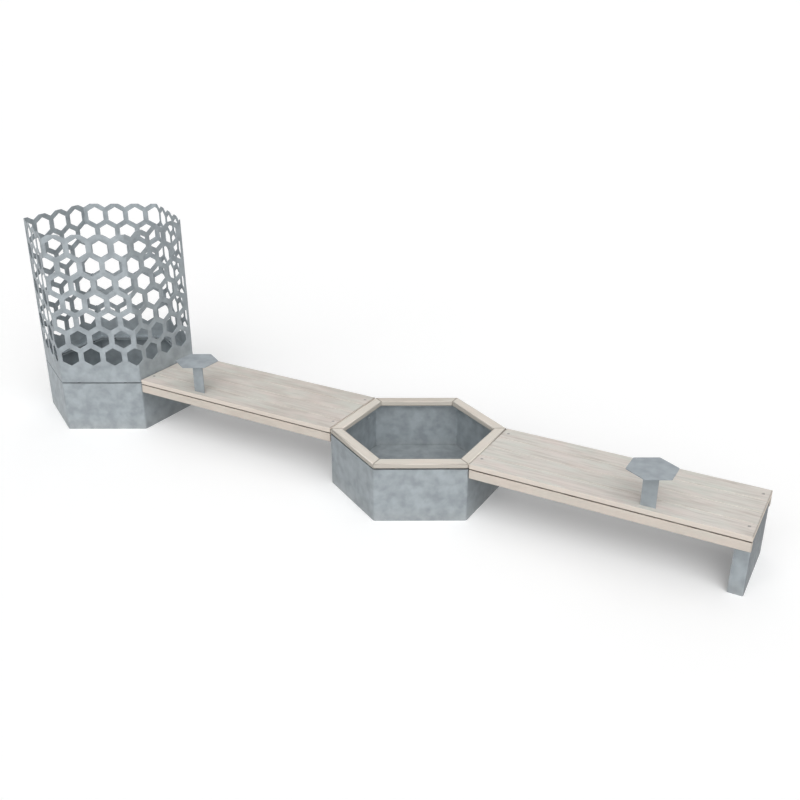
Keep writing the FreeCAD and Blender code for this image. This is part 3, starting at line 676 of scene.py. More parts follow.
@dataclass(frozen=True)
class Palette:
    """Every finish of the object, made once."""

    zinc: Material
    washed_zinc: Material
    table_zinc: Material
    plank: Material
    edge: Material
    rim: Material
    stainless: Material
    dipped: Material
    rubber: Material

    @classmethod
    def mixed(cls) -> Palette:
        """Mix all finishes.

        Returns:
            The palette of materials.
        """
        finishes = {
            "zinc": ZincFinish(),
            # the leg's copy of the zinc, with painted shade on its end plate
            "washed_zinc": ZincFinish(name="washed_sheet", run_off=1.0),
            # a darker copy of the same zinc for the table tops only: painted shade
            "table_zinc": ZincFinish(
                name="table_sheet",
                pale=(0.335, 0.372, 0.400),
                dark=(0.240, 0.268, 0.290),
            ),
            "plank": TimberFinish(
                name="plank_timber",
                pale=(0.765, 0.725, 0.680),
                dark=(0.45, 0.405, 0.360),
                grey=(0.675, 0.71, 0.65),
                blush=(0.77, 0.67, 0.625),
                grain_share=0.75,
                grey_share=0.5,
                blush_share=0.45,
                side_dirt=0.15,
                # painted light on the planks' sideways faces
                side_share=0.75,
            ),
            # the fascia timber: its own grain and tone, and a colour set darker than the planks' as painted
            # shade under the plank edge
            "edge": TimberFinish(
                name="edge_timber",
                pale=(0.718, 0.650, 0.582),
                dark=(0.52, 0.455, 0.39),
                grey=(0.70, 0.665, 0.595),
                blush=(0.765, 0.665, 0.59),
                grain_share=0.4,
                end_dirt=0.3,
            ),
            "rim": TimberFinish(
                name="rim_timber",
                pale=(0.805, 0.757, 0.68),
                dark=(0.52, 0.465, 0.41),
                grey=(0.70, 0.69, 0.63),
                blush=(0.79, 0.70, 0.63),
                grain_share=0.35,
                tone_share=0.8,
                end_reach=0.006,
                end_dirt=0.55,
                # painted shade on the rim boards' sideways faces
                side=(0.52, 0.485, 0.43),
                side_share=0.8,
            ),
            "stainless": FastenerFinish(),
            "dipped": FastenerFinish(
                name="dipped_fastener",
                pale=(0.50, 0.53, 0.545),
                dark=(0.32, 0.345, 0.36),
                metallic=0.45,
            ),
            "rubber": RubberFinish(),
        }
        groups = GroupShelf()
        return cls(**{use: finish.material(groups) for use, finish in finishes.items()})


def new_object(name: str, mesh: Mesh) -> bpy.types.Object:
    """Put a mesh into the scene at the origin.

    Args:
        name: The object's name.
        mesh: The mesh.

    Returns:
        The object.
    """
    thing = bpy.data.objects.new(name, mesh)
    bpy.context.scene.collection.objects.link(thing)
    return thing


def mesh_from(name: str, points: Sequence[Point], edges: Sequence = (), faces: Sequence = ()) -> Mesh:
    """Make a mesh from plain lists.

    Args:
        name: The mesh's name.
        points: Its points.
        edges: Pairs of point numbers.
        faces: Loops of point numbers.

    Returns:
        The mesh.
    """
    mesh = bpy.data.meshes.new(name)
    mesh.from_pydata(points, edges, faces)
    return mesh


def mesh_of(name: str, shape: bmesh.types.BMesh) -> Mesh:
    """Turn a worked shape into a mesh with faces that point outwards.

    Args:
        name: The mesh's name.
        shape: The shape, which is used up.

    Returns:
        The mesh.
    """
    bmesh.ops.recalc_face_normals(shape, faces=shape.faces)
    mesh = bpy.data.meshes.new(name)
    shape.to_mesh(mesh)
    shape.free()
    return mesh


def grow(thing: bpy.types.Object, sheet: Sheet, values: dict[str, object]) -> None:
    """Run a geometry tree on an object and keep its plain mesh.

    Args:
        thing: The object whose mesh goes into the tree.
        sheet: The tree.
        values: The tree's named inputs.
    """
    modifier = thing.modifiers.new(sheet.tree.name, "NODES")
    modifier.node_group = sheet.tree
    for name, value in values.items():
        modifier[sheet.identifiers[name]] = value
    thing.update_tag()
    graph = bpy.context.evaluated_depsgraph_get()
    grown = bpy.data.meshes.new_from_object(
        thing.evaluated_get(graph), preserve_all_data_layers=True, depsgraph=graph
    )
    start = thing.data
    thing.modifiers.clear()
    thing.data = grown
    grown.name = thing.name
    bpy.data.meshes.remove(start)


def discard(*things: bpy.types.Object) -> None:
    """Remove helper objects and their meshes.

    Args:
        things: The objects.
    """
    for thing in things:
        mesh = thing.data
        bpy.data.objects.remove(thing)
        bpy.data.meshes.remove(mesh)


def stand_for(thing: bpy.types.Object, nodes: Iterable[str]) -> None:
    """Let a piece ride on the object and stand for its nodes.

    Args:
        thing: The piece.
        nodes: The nodes that it stands for.
    """
    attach(thing, "root")
    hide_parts(*nodes)
    LOG.info("%s stands for %s, %d faces", thing.name, ", ".join(nodes), len(thing.data.polygons))


def dress(nodes: Iterable[str], material: Material) -> None:
    """Give CAD nodes that stay in view their finish.

    Args:
        nodes: The nodes' names.
        material: The finish.
    """
    for name in nodes:
        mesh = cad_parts[name].data
        mesh.materials.clear()
        mesh.materials.append(material)
        LOG.info("%s keeps its shape, with %s", name, material.name)


def build_board_row() -> Sheet:
    """Geometry tree that lays out copies of one board in a row or around a centre.

    Each copy gets its own tone and its own stretch of grain. A slot may be cut for a stem.

    Returns:
        The tree.
    """
    takes = {
        "Board": "Geometry",
        "Count": 1,
        "Step": "Vector",
        "Turn": 0.0,
        "Place": "Vector",
        "Seed": 0,
        "Palest Tone": 0.0,
        "Darkest Tone": 1.0,
        "Slotted": False,
        "Slot Place": "Vector",
        "Slot Size": (0.1, 0.1, 0.1),
        "Finish": "Material",
    }
    sheet = Sheet.new("board_row", Kind.GEOMETRY, {"Boards": "Geometry"}, takes)
    given = sheet.given
    farthest = (20.0, 20.0, 20.0)
    nearest = (-20.0, -20.0, -20.0)
    index = sheet.add("GeometryNodeInputIndex")
    spots = sheet.add("GeometryNodeMeshLine", Count=given["Count"], Offset=given["Step"])
    turn = sheet.add("ShaderNodeCombineXYZ", Z=sheet.math("MULTIPLY", index, given["Turn"]))
    rows = sheet.add("GeometryNodeInstanceOnPoints", Points=spots, Instance=given["Board"], Rotation=turn)
    tone = sheet.random(given["Palest Tone"], given["Darkest Tone"])
    toned = sheet.store(rows, "tone", tone, "FLOAT", "INSTANCE")
    shift = sheet.add(
        "FunctionNodeRandomValue", nearest, farthest, ID=index, Seed=given["Seed"], data_type="FLOAT_VECTOR"
    )
    shifted = sheet.store(toned, "shift", shift, "FLOAT_VECTOR", "INSTANCE")
    real = sheet.add("GeometryNodeRealizeInstances", Geometry=shifted)
    own_grain = sheet.vector("ADD", sheet.stored("grain"), sheet.stored("shift"))
    grained = sheet.store(real, "grain", own_grain, "FLOAT_VECTOR")
    placed = sheet.moved(grained, Translation=given["Place"])
    block = sheet.add("GeometryNodeMeshCube", Size=given["Slot Size"])
    slotted = sheet.cut(placed, sheet.moved(block, Translation=given["Slot Place"]))
    for name, kind in (("grain", "FLOAT_VECTOR"), ("joint", "FLOAT_VECTOR"), ("tone", "FLOAT")):
        value = sheet.stored(name, kind)
        sampled = sheet.add("GeometryNodeSampleNearestSurface", Mesh=placed, Value=value, data_type=kind)
        slotted = sheet.store(slotted, name, sampled, kind)
    sheet.end(sheet.add("GeometryNodeSwitch", given["Slotted"], placed, slotted, input_type="GEOMETRY"))
    return sheet


def build_fastener_field() -> Sheet:
    """Geometry tree that puts one fastener at every place, each turned a little differently.

    Returns:
        The tree.
    """
    takes = {
        "Places": "Geometry",
        "Fastener": "Object",
        "Seed": 0,
        "Largest Turn": SIXTH,
        "Finish": "Material",
    }
    sheet = Sheet.new("fastener_field", Kind.GEOMETRY, {"Fasteners": "Geometry"}, takes)
    given = sheet.given
    shape = sheet.add("GeometryNodeObjectInfo", Object=given["Fastener"]).outputs["Geometry"]
    spots = sheet.add("GeometryNodeMeshToPoints", Mesh=given["Places"])
    aligned = sheet.add("FunctionNodeAlignRotationToVector", Vector=sheet.stored("direction"), axis="Z")
    turn = sheet.random(0.0, given["Largest Turn"])
    spin = sheet.add("FunctionNodeAxisAngleToRotation", Axis=UP, Angle=turn)
    both = sheet.add("FunctionNodeRotateRotation", Rotation=aligned, Rotate_By=spin, rotation_space="LOCAL")
    sheet.end(sheet.add("GeometryNodeInstanceOnPoints", Points=spots, Instance=shape, Rotation=both))
    return sheet


def build_folded_screen() -> Sheet:
    """Geometry tree for half a screen: cut flat in a honeycomb, then folded along a path.

    The path comes in as the object's own edges. It is straightened to give the flat sheet,
    six-sided cutters pierce it and shape its crest, and every point then goes back to its
    place along the path. The second half is the mirror image of the first.

    Returns:
        The tree.
    """
    takes = {
        "Path": "Geometry",
        "Hole Places": "Object",
        "Notch Places": "Object",
        "Hole Radius": 0.07,
        "Notch Radius": 0.07,
        "Cutter Depth": 0.02,
        "Sheet Thickness": 0.004,
        "Foot": 0.4,
        "Crest": 1.6,
        "Seam Edge": 0.02,
        "Guard Depth": 0.1,
        "Guard Height": 4.0,
        "Weld Distance": 0.00002,
        "Mirror Turn": SIXTH,
        "Sharp Angle": math.radians(35),
        "Place": "Vector",
        "Finish": "Material",
    }
    sheet = Sheet.new("folded_screen", Kind.GEOMETRY, {"Screen": "Geometry"}, takes)
    given = sheet.given

    def point(**axes: object) -> Node:
        """Point that lies at zero on the axes that aren't named."""
        return sheet.add("ShaderNodeCombineXYZ", **axes)

    def cutters(what: str) -> Node:
        """Six-sided cutters through the sheet, one corner up, at an object's points.

        Args:
            what: The first word of the two inputs that hold the object and the radius.

        Returns:
            The cutters.
        """
        info = sheet.add("GeometryNodeObjectInfo", Object=given[what + " Places"])
        points = sheet.add("GeometryNodeMeshToPoints", Mesh=info.outputs["Geometry"])
        size = {"Radius": given[what + " Radius"], "Depth": given["Cutter Depth"]}
        cutter = sheet.add("GeometryNodeMeshCylinder", len(SIDES), **size)
        lying = sheet.moved(cutter, Rotation=(math.pi / 2, 0.0, 0.0))
        turned = sheet.moved(lying, Rotation=(0.0, math.pi / 6, 0.0))
        set_out = sheet.add("GeometryNodeInstanceOnPoints", Points=points, Instance=turned)
        return sheet.add("GeometryNodeRealizeInstances", Geometry=set_out)

    path = sheet.add("GeometryNodeMeshToCurve", Mesh=given["Path"])
    along = sheet.add("GeometryNodeSplineParameter").outputs["Length"]
    flat_path = sheet.add("GeometryNodeSetPosition", Geometry=path, Position=point(X=along))
    upright = sheet.add("GeometryNodeSetCurveNormal", Curve=flat_path, mode="Z_UP")
    tall = sheet.math("SUBTRACT", given["Crest"], given["Foot"])
    middle = sheet.math("MULTIPLY", sheet.math("ADD", given["Crest"], given["Foot"]), 0.5)
    thickness = given["Sheet Thickness"]
    section = sheet.add("GeometryNodeCurvePrimitiveQuadrilateral", Width=thickness, Height=tall)
    swept = sheet.add("GeometryNodeCurveToMesh", Curve=upright, Profile_Curve=section, Fill_Caps=True)
    blank = sheet.moved(swept, Translation=point(Z=middle))

    both_ways = sheet.math("MULTIPLY", given["Seam Edge"], 2.0)
    guard_size = point(X=both_ways, Y=given["Guard Depth"], Z=given["Guard Height"])
    guard = sheet.add("GeometryNodeMeshCube", Size=guard_size)
    far_guard = sheet.moved(guard, Translation=point(X=sheet.add("GeometryNodeCurveLength", Curve=path)))
    holes = sheet.cut(cutters("Hole"), [guard, far_guard], crossing=True)
    pierced = sheet.cut(blank, [holes, cutters("Notch")], crossing=True)

    flat = sheet.add("ShaderNodeSeparateXYZ", sheet.add("GeometryNodeInputPosition")).outputs
    spot = sheet.add("GeometryNodeSampleCurve", Curves=path, Length=flat["X"], mode="LENGTH").outputs
    outward = sheet.scaled(sheet.vector("CROSS_PRODUCT", spot["Tangent"], UP), flat["Y"])
    folded_place = sheet.vector("ADD", sheet.vector("ADD", spot["Position"], outward), point(Z=flat["Z"]))
    folded = sheet.add("GeometryNodeSetPosition", Geometry=pierced, Position=folded_place)
    faced = sheet.add("GeometryNodeFlipFaces", Mesh=folded)
    welded = sheet.add("GeometryNodeMergeByDistance", Geometry=faced, Distance=given["Weld Distance"])

    mirrored = sheet.add("GeometryNodeFlipFaces", Mesh=sheet.moved(welded, Scale=(1.0, -1.0, 1.0)))
    second = sheet.moved(mirrored, Rotation=point(Z=given["Mirror Turn"]))
    pair = sheet.add("GeometryNodeJoinGeometry", [welded, second])
    placed = sheet.moved(pair, Translation=given["Place"])
    smooth = sheet.add("GeometryNodeSetShadeSmooth", Geometry=placed, Shade_Smooth=True, domain="FACE")
    angle = sheet.add("GeometryNodeInputMeshEdgeAngle").outputs["Unsigned Angle"]
    sharp = sheet.add("FunctionNodeCompare", angle, given["Sharp Angle"], operation="GREATER_THAN")
    edged = {"Geometry": smooth, "Selection": sharp, "Shade Smooth": False}
    sheet.end(sheet.feed(sheet.add("GeometryNodeSetShadeSmooth", domain="EDGE"), edged))
    return sheet


@dataclass
class Screen:
    """The pierced six-sided screen on the left planter."""

    side: float = 0.650
    thickness: float = 0.004
    fold_radius: float = 0.022
    foot: float = 0.426
    hole_flats: float = 0.133
    hole_pitch: float = 0.1773
    left_pitch: float = 0.1805
    row_pitch: float = 0.1515
    rows: int = 7
    first_row_height: float = 0.651
    fold_offset: float = 0.017
    seam_edge: float = 0.023
    narrowest_hole: float = 0.015
    crest_bar: float = 0.029
    crest_half_width: float = 0.033
    notch_radius: float = 0.075
    closest_notches: float = 0.03
    first_fold: int = 210
    folds: int = 4
    fold_steps: int = 8
    most_holes: int = 8
    place: Point = (-2.43792, 0.0, 0.0)

    @property
    def hole_radius(self) -> float:
        """Distance from a hole's middle to its corners."""
        return self.hole_flats / 2 / COS30

    @property
    def crest(self) -> float:
        """Height of the screen's top."""
        return self.first_row_height + (self.rows - 1) * self.row_pitch + self.hole_radius + self.crest_bar

    @property
    def fold(self) -> float:
        """Distance from a side's middle to the middle of its folds."""
        return self.side / 2 - self.fold_radius * (1 / COS30 - 1) / 2

    @property
    def bend(self) -> float:
        """Radius of the sheet's middle line in a fold."""
        return self.fold_radius - self.thickness / 2

    @property
    def half_run(self) -> float:
        """Length of the sheet's middle line over half a side."""
        return (self.side * COS30 - self.fold_radius) * TAN30 + self.bend * SIXTH / 2

    def path_points(self) -> list[Point]:
        """Draw the middle line of the front half, from the middle of its first fold to that of its last.

        Returns:
            The line's points.
        """
        centre_reach = (self.side * COS30 - self.fold_radius) / COS30
        half = self.fold_steps // 2
        points = []
        for corner in range(self.folds):
            angle = math.radians(self.first_fold + 60 * corner)
            last = half if corner == self.folds - 1 else self.fold_steps
            for step in range(0 if corner else half, last + 1):
                turn = angle + SIXTH * (step / self.fold_steps - 0.5)
                x, y = (centre_reach * part(angle) + self.bend * part(turn) for part in (math.cos, math.sin))
                points.append((x, y, 0.0))
        return points

    def side_centres(self, parity: int) -> list[list[float]]:
        """Find the hole middles along the front left, front right and right sides.

        Args:
            parity: 0 or 1, for the rows that are shifted against each other.

        Returns:
            The middles on each side, from its own middle.
        """
        step = self.hole_pitch
        start = self.fold - self.fold_offset - parity * step / 2
        front = [start - number * step for number in range(-1, self.most_holes)]
        right = [start - 2 * self.fold + number * step for number in range(self.most_holes + 1)]
        first = -min(centre for centre in front if centre >= -self.fold)
        beyond = [-centre for centre in front if centre < -self.fold]
        left = beyond + [first - number * self.left_pitch for number in range(self.most_holes)]
        return [sorted(left), sorted(front), sorted(right)]

    def past_fold(self, side: int, centre: float) -> bool:
        """Whether a middle lies past a fold, where the next side has it too."""
        return (side < 2 and centre > self.fold) or (side > 0 and centre < -self.fold)

    def on_sheet(self, side: int, centre: float, height: float) -> Point:
        """Where a middle on one side is on the flat sheet."""
        return ((2 * side + 1) * self.half_run + centre, 0.0, height)

    def hole_places(self) -> list[Point]:
        """Find the hole middles on the flat sheet, each hole once.

        Returns:
            The middles.
        """
        places = []
        half = self.hole_flats / 2
        stop = self.fold - self.seam_edge
        limits = [(-stop, self.fold), (-self.fold, self.fold), (-self.fold, stop)]
        for row in range(self.rows):
            height = self.first_row_height + row * self.row_pitch
            for side, centres in enumerate(self.side_centres(row % 2)):
                low, high = limits[side]
                for centre in centres:
                    seen = min(centre + half, high) - max(centre - half, low)
                    if seen >= self.narrowest_hole and not self.past_fold(side, centre):
                        places.append(self.on_sheet(side, centre, height))
        return places

    def notch_places(self) -> list[Point]:
        """Find the cutters that shape the crest between the holes of the top row.

        Returns:
            The cutters' middles, where those that all but coincide are one.
        """
        places = []
        reach = self.fold + self.notch_radius
        for side, centres in enumerate(self.side_centres((self.rows - 1) % 2)):
            for here, following in zip(centres, centres[1:]):
                middle = (here + following) / 2
                drop = (middle - here - self.crest_half_width) * TAN30
                if abs(middle) < reach and not self.past_fold(side, middle):
                    places.append(self.on_sheet(side, middle, self.crest - drop + self.notch_radius))
        joined: list[Point] = []
        for spot in sorted(places):
            if joined and spot[0] - joined[-1][0] < self.closest_notches:
                before = joined.pop()
                spot = ((spot[0] + before[0]) / 2, 0.0, (spot[2] + before[2]) / 2)
            joined.append(spot)
        return joined

    def build(self, palette: Palette) -> None:
        """Cut, fold and place the screen, which stands for its six sides.

        Args:
            palette: The finishes.
        """
        points = self.path_points()
        edges = [(number, number + 1) for number in range(len(points) - 1)]
        screen = new_object("screen_shell", mesh_from("screen_path", points, edges))
        holes = new_object("hole_places", mesh_from("hole_places", self.hole_places()))
        notches = new_object("notch_places", mesh_from("notch_places", self.notch_places()))
        values = {
            "Hole Places": holes,
            "Notch Places": notches,
            "Hole Radius": self.hole_radius,
            "Notch Radius": self.notch_radius,
            "Sheet Thickness": self.thickness,
            "Foot": self.foot,
            "Crest": self.crest,
            "Seam Edge": self.half_run - self.fold + self.seam_edge,
            "Place": self.place,
            "Finish": palette.zinc,
        }
        grow(screen, build_folded_screen(), values)
        discard(holes, notches)
        stand_for(screen, ["screen_panel_" + name for name in SIDES])
        steel = ["screen_base_shell", "screen_base_tray", "screen_mount_ring", "screen_seam_strips"]
        dress(steel, palette.zinc)
        dress(["screen_pads"], palette.rubber)


def way_to(spot: Vector, first: Sequence[float], last: Sequence[float]) -> float:
    """Distance from a place on a board to the line through two of its corners."""
    line = (Vector(last) - Vector(first)).normalized()
    return abs((spot - Vector(first)).cross(line))


def board_mesh(
    name: str, outline: Outline, low: float, high: float, rounding: float, every_edge: bool
) -> Mesh:
    """Make one board with rounded edges.

    Args:
        name: The mesh's name.
        outline: Four flat corners as (x, y) pairs; the first and the last make one end of the board.
        low: Height of the underside.
        high: Height of the top.
        rounding: Radius of the rounded edges.
        every_edge: Whether the end edges are rounded too, or only the long ones.

    Returns:
        The mesh, with its grain attribute and its joint attribute, which is the way to either end and
        the place between the long edges, from -1 to 1.
    """
    shape = bmesh.new()
    under, over = ([shape.verts.new((x, y, height)) for x, y in outline] for height in (low, high))
    shape.faces.new(under[::-1])
    shape.faces.new(over)
    for here in range(len(outline)):
        following = (here + 1) % len(outline)
        shape.faces.new((under[here], under[following], over[following], over[here]))
    lows, highs = ([pick(corner[way] for corner in outline) for way in (0, 1)] for pick in (min, max))
    length, width = (highs[way] - lows[way] for way in (0, 1))
    long_way = 0 if length > width else 1
    side_way = 1 - long_way
    edges = shape.edges[:]
    if not every_edge:
        edges = [edge for edge in edges if abs((edge.verts[0].co - edge.verts[1].co)[long_way]) > width / 2]
    bmesh.ops.bevel(shape, geom=edges, offset=rounding, segments=ROUNDING_STEPS, profile=0.5, affect="EDGES")
    grain = shape.verts.layers.float_vector.new("grain")
    joint = shape.verts.layers.float_vector.new("joint")
    for vertex in shape.verts:
        along, across = vertex.co[long_way], vertex.co[side_way]
        vertex[grain] = Vector((along, across, vertex.co.z))
        share = 2 * (across - lows[side_way]) / (highs[side_way] - lows[side_way]) - 1
        start_way = way_to(vertex.co.xy, outline[0], outline[3])
        end_way = way_to(vertex.co.xy, outline[1], outline[2])
        vertex[joint] = Vector((start_way, end_way, share))
    narrow = rounding * NARROW_SHARE
    for face in shape.faces:
        face.smooth = min(edge.calc_length() for edge in face.edges) < narrow
    return mesh_of(name, shape)


@dataclass
class LowPlanter:
    """The low planter in the middle, with its rim of six mitred boards."""

    side: float = 0.650
    rim_width: float = 0.080
    rim_rounding: float = 0.008
    mitre_gap: float = 0.003
    board_bottom: float = 0.412
    seat_height: float = 0.450
    place: Point = (0.56292, 0.0, 0.0)
    seed: int = 242

    def build(self, palette: Palette, board_row: Sheet) -> None:
        """Lay the rim boards round the planter and dress the steel.

        Args:
            palette: The finishes.
            board_row: The geometry tree that lays out boards.
        """
        outer = self.side * COS30
        inner = outer - self.rim_width
        outer_half, inner_half = (reach * TAN30 - self.mitre_gap / 2 / COS30 for reach in (outer, inner))
        outline = [(outer, -outer_half), (outer, outer_half), (inner, inner_half), (inner, -inner_half)]
        heights = (self.board_bottom, self.seat_height)
        board = board_mesh("rim_board", outline, *heights, self.rim_rounding, every_edge=False)
        rim = new_object("rim_boards", board)
        values = {
            "Count": len(SIDES),
            "Turn": SIXTH,
            "Place": self.place,
            "Seed": self.seed,
            "Finish": palette.rim,
        }
        grow(rim, board_row, values)
        stand_for(rim, ["rim_board_" + name for name in SIDES])
        dress(["centre_shell", "centre_tray"], palette.zinc)
        dress(["rim_pads"], palette.rubber)


@dataclass
class Bench:
    """One bench: planks, fascias, steel frame and side table."""

    name: str
    start: float
    end: float
    stem_x: float
    seed: int
    palest_tone: float
    darkest_tone: float
    width: float = 0.650
    planks: int = 4
    gap: float = 0.003
    board_bottom: float = 0.412
    seat_height: float = 0.450
    rounding: float = 0.004
    fascia_height: float = 0.065
    fascia_thickness: float = 0.028
    fascia_top: float = 0.404
    stem_y: float = -0.280
    slot_length: float = 0.100
    slot_width: float = 0.010
    slot_overrun: float = 0.020

    @property
    def plank_width(self) -> float:
        """Width of one plank."""
        return (self.width - (self.planks - 1) * self.gap) / self.planks

    def board(self, kind: str, depth: float, low: float, high: float) -> bpy.types.Object:
        """Make the front board of a kind, over the whole length of the bench.

        Args:
            kind: What the boards are.
            depth: The board's size from front to back.
            low: Height of its underside.
            high: Height of its top.

        Returns:
            The board.
        """
        front = -self.width / 2
        back = front + depth
        outline = [(self.start, front), (self.end, front), (self.end, back), (self.start, back)]
        mesh = board_mesh(kind, outline, low, high, self.rounding, every_edge=True)
        return new_object("%s_%ss" % (self.name, kind), mesh)

    def build(self, palette: Palette, board_row: Sheet) -> None:
        """Lay the planks and fascias, and dress the steel.

        Args:
            palette: The finishes.
            board_row: The geometry tree that lays out boards.
        """
        planks = self.board("plank", self.plank_width, self.board_bottom, self.seat_height)
        middle = (self.board_bottom + self.seat_height) / 2
        slot_height = self.seat_height - self.board_bottom + self.slot_overrun
        values = {
            "Count": self.planks,
            "Step": (0.0, self.plank_width + self.gap, 0.0),
            "Seed": self.seed,
            "Palest Tone": self.palest_tone,
            "Darkest Tone": self.darkest_tone,
            "Slotted": True,
            "Slot Place": (self.stem_x, self.stem_y, middle),
            "Slot Size": (self.slot_length, self.slot_width, slot_height),
            "Finish": palette.plank,
        }
        grow(planks, board_row, values)
        nodes = ["%s_plank_%d" % (self.name, number + 1) for number in range(self.planks)]
        stand_for(planks, nodes)
        fascia_bottom = self.fascia_top - self.fascia_height
        fascias = self.board("fascia", self.fascia_thickness, fascia_bottom, self.fascia_top)
        values = {
            "Count": 2,
            "Step": (0.0, self.width - self.fascia_thickness, 0.0),
            "Seed": self.seed + 1,
            # the fascias take the edge timber, set darker as painted shade
            "Finish": palette.edge,
        }
        grow(fascias, board_row, values)
        stand_for(fascias, [self.name + "_fascia_front", self.name + "_fascia_back"])
        steel = ["beam_back", "beam_front", "cross_bars", "end_plate", "table_stem"]
        dress([self.name + "_" + part for part in steel], palette.zinc)
        # the table tops take the darker copy of the zinc, which is painted shade
        dress([self.name + "_table_top"], palette.table_zinc)


@dataclass(frozen=True)
class Fastener:
    """One kind of bolt, nut or screw, drawn with its outer end at the origin and pointing up."""

    node: str
    head: Head
    radius: float
    head_radius: float
    head_height: float
    dipped: bool = False
    corners: int = 24
    dome_steps: int = 5
    chamfer_share: float = 0.25
    socket_share: float = 0.72
    socket_limit: float = 0.75
    socket_middle: float = 0.75
    socket_floor: float = 0.7
    face_share: float = 0.9
    lip_share: float = 0.2
    core_share: float = 0.8
    point_start: float = 0.8
    corner_share: float = 0.86
    bore_share: float = 1.03
    head_limit: float = 1.2

    def profile(self, length: float) -> list[tuple[float, float]]:
        """Draw the outline from the outer end to the tip.

        Args:
            length: The fastener's whole length.

        Returns:
            Distances from the axis and heights.
        """
        wide, thick, thin = self.head_radius, self.head_height, self.radius
        chamfer = thin * self.chamfer_share
        core = thin * self.core_share
        face = wide * self.face_share
        if self.head is Head.DOME:
            ball = (wide**2 + thick**2) / (2 * thick)
            socket = thin * self.socket_share
            inner, outer = (math.asin(reach / ball) for reach in (socket, wide))
            span = outer - inner
            angles = [inner + step * span / self.dome_steps for step in range(self.dome_steps + 1)]
            dome = [(ball * math.sin(angle), ball * (1 - math.cos(angle))) for angle in angles]
            dip = [(0.0, thick * self.socket_middle), (socket, thick * self.socket_floor)]
            return [*dip, *dome, (thin, thick), (thin, length), (0.0, length)]
        if self.head is Head.CONE:
            top = [(0.0, 0.0), (face, 0.0), (wide, thick * self.lip_share)]
            return [*top, (core, thick), (core, length * self.point_start), (0.0, length)]
        corner = wide * self.corner_share
        rim = [(corner, 0.0), (wide, chamfer), (wide, thick - chamfer)]
        if self.head is Head.NUT:
            bore = thin * self.bore_share
            return [(bore, 0.0), *rim, (corner, thick), (bore, thick)]
        tip = [(thin, length - chamfer), (core, length), (0.0, length)]
        return [(0.0, 0.0), *rim, (face, thick), (thin, thick), *tip]

    def reach_at(self, angle: float, reach: float) -> float:
        """Flatten a round outline to six sides where the head or its socket has them.

        Args:
            angle: Where on the outline.
            reach: Distance of the round outline from the axis.

        Returns:
            Distance of the flattened outline.
        """
        flat = COS30 / math.cos(angle % SIXTH - SIXTH / 2)
        if self.head is Head.DOME and reach < self.radius * self.socket_limit:
            return reach * flat
        if self.head in (Head.HEXAGON, Head.NUT) and reach > self.radius * self.head_limit:
            return min(reach, self.head_radius * flat)
        return reach

    def mesh(self, length: float) -> Mesh:
        """Turn the outline round the axis.

        Args:
            length: The fastener's whole length.

        Returns:
            The mesh.
        """
        shape = bmesh.new()
        rings = []
        for reach, height in self.profile(length):
            ring = []
            for number in range(self.corners if reach else 1):
                angle = 2 * math.pi * number / self.corners
                away = self.reach_at(angle, reach)
                ring.append(shape.verts.new((away * math.cos(angle), away * math.sin(angle), height)))
            rings.append(ring)
        pairs = list(zip(rings, rings[1:]))
        if self.head is Head.NUT:
            pairs.append((rings[-1], rings[0]))
        for low, high in pairs:
            for number in range(self.corners):
                following = (number + 1) % self.corners
                ways = ((low, number), (high, number), (high, following), (low, following))
                shape.faces.new(dict.fromkeys(ring[place % len(ring)] for ring, place in ways))
        return mesh_of(self.node, shape)


def separate_solids(mesh: Mesh) -> list[list[Vector]]:
    """Sort the points of a mesh of loose triangles by the solid that they are on.

    Args:
        mesh: The mesh, which isn't changed.

    Returns:
        The points of each solid.
    """
    shape = bmesh.new()
    shape.from_mesh(mesh)
    bmesh.ops.remove_doubles(shape, verts=shape.verts, dist=SAME_PLACE)
    solids = []
    waiting = set(shape.verts)
    while waiting:
        stack = [waiting.pop()]
        solid = []
        while stack:
            vertex = stack.pop()
            solid.append(vertex.co.copy())
            beside = waiting.intersection(edge.other_vert(vertex) for edge in vertex.link_edges)
            waiting -= beside
            stack.extend(beside)
        solids.append(solid)
    shape.free()
    return solids


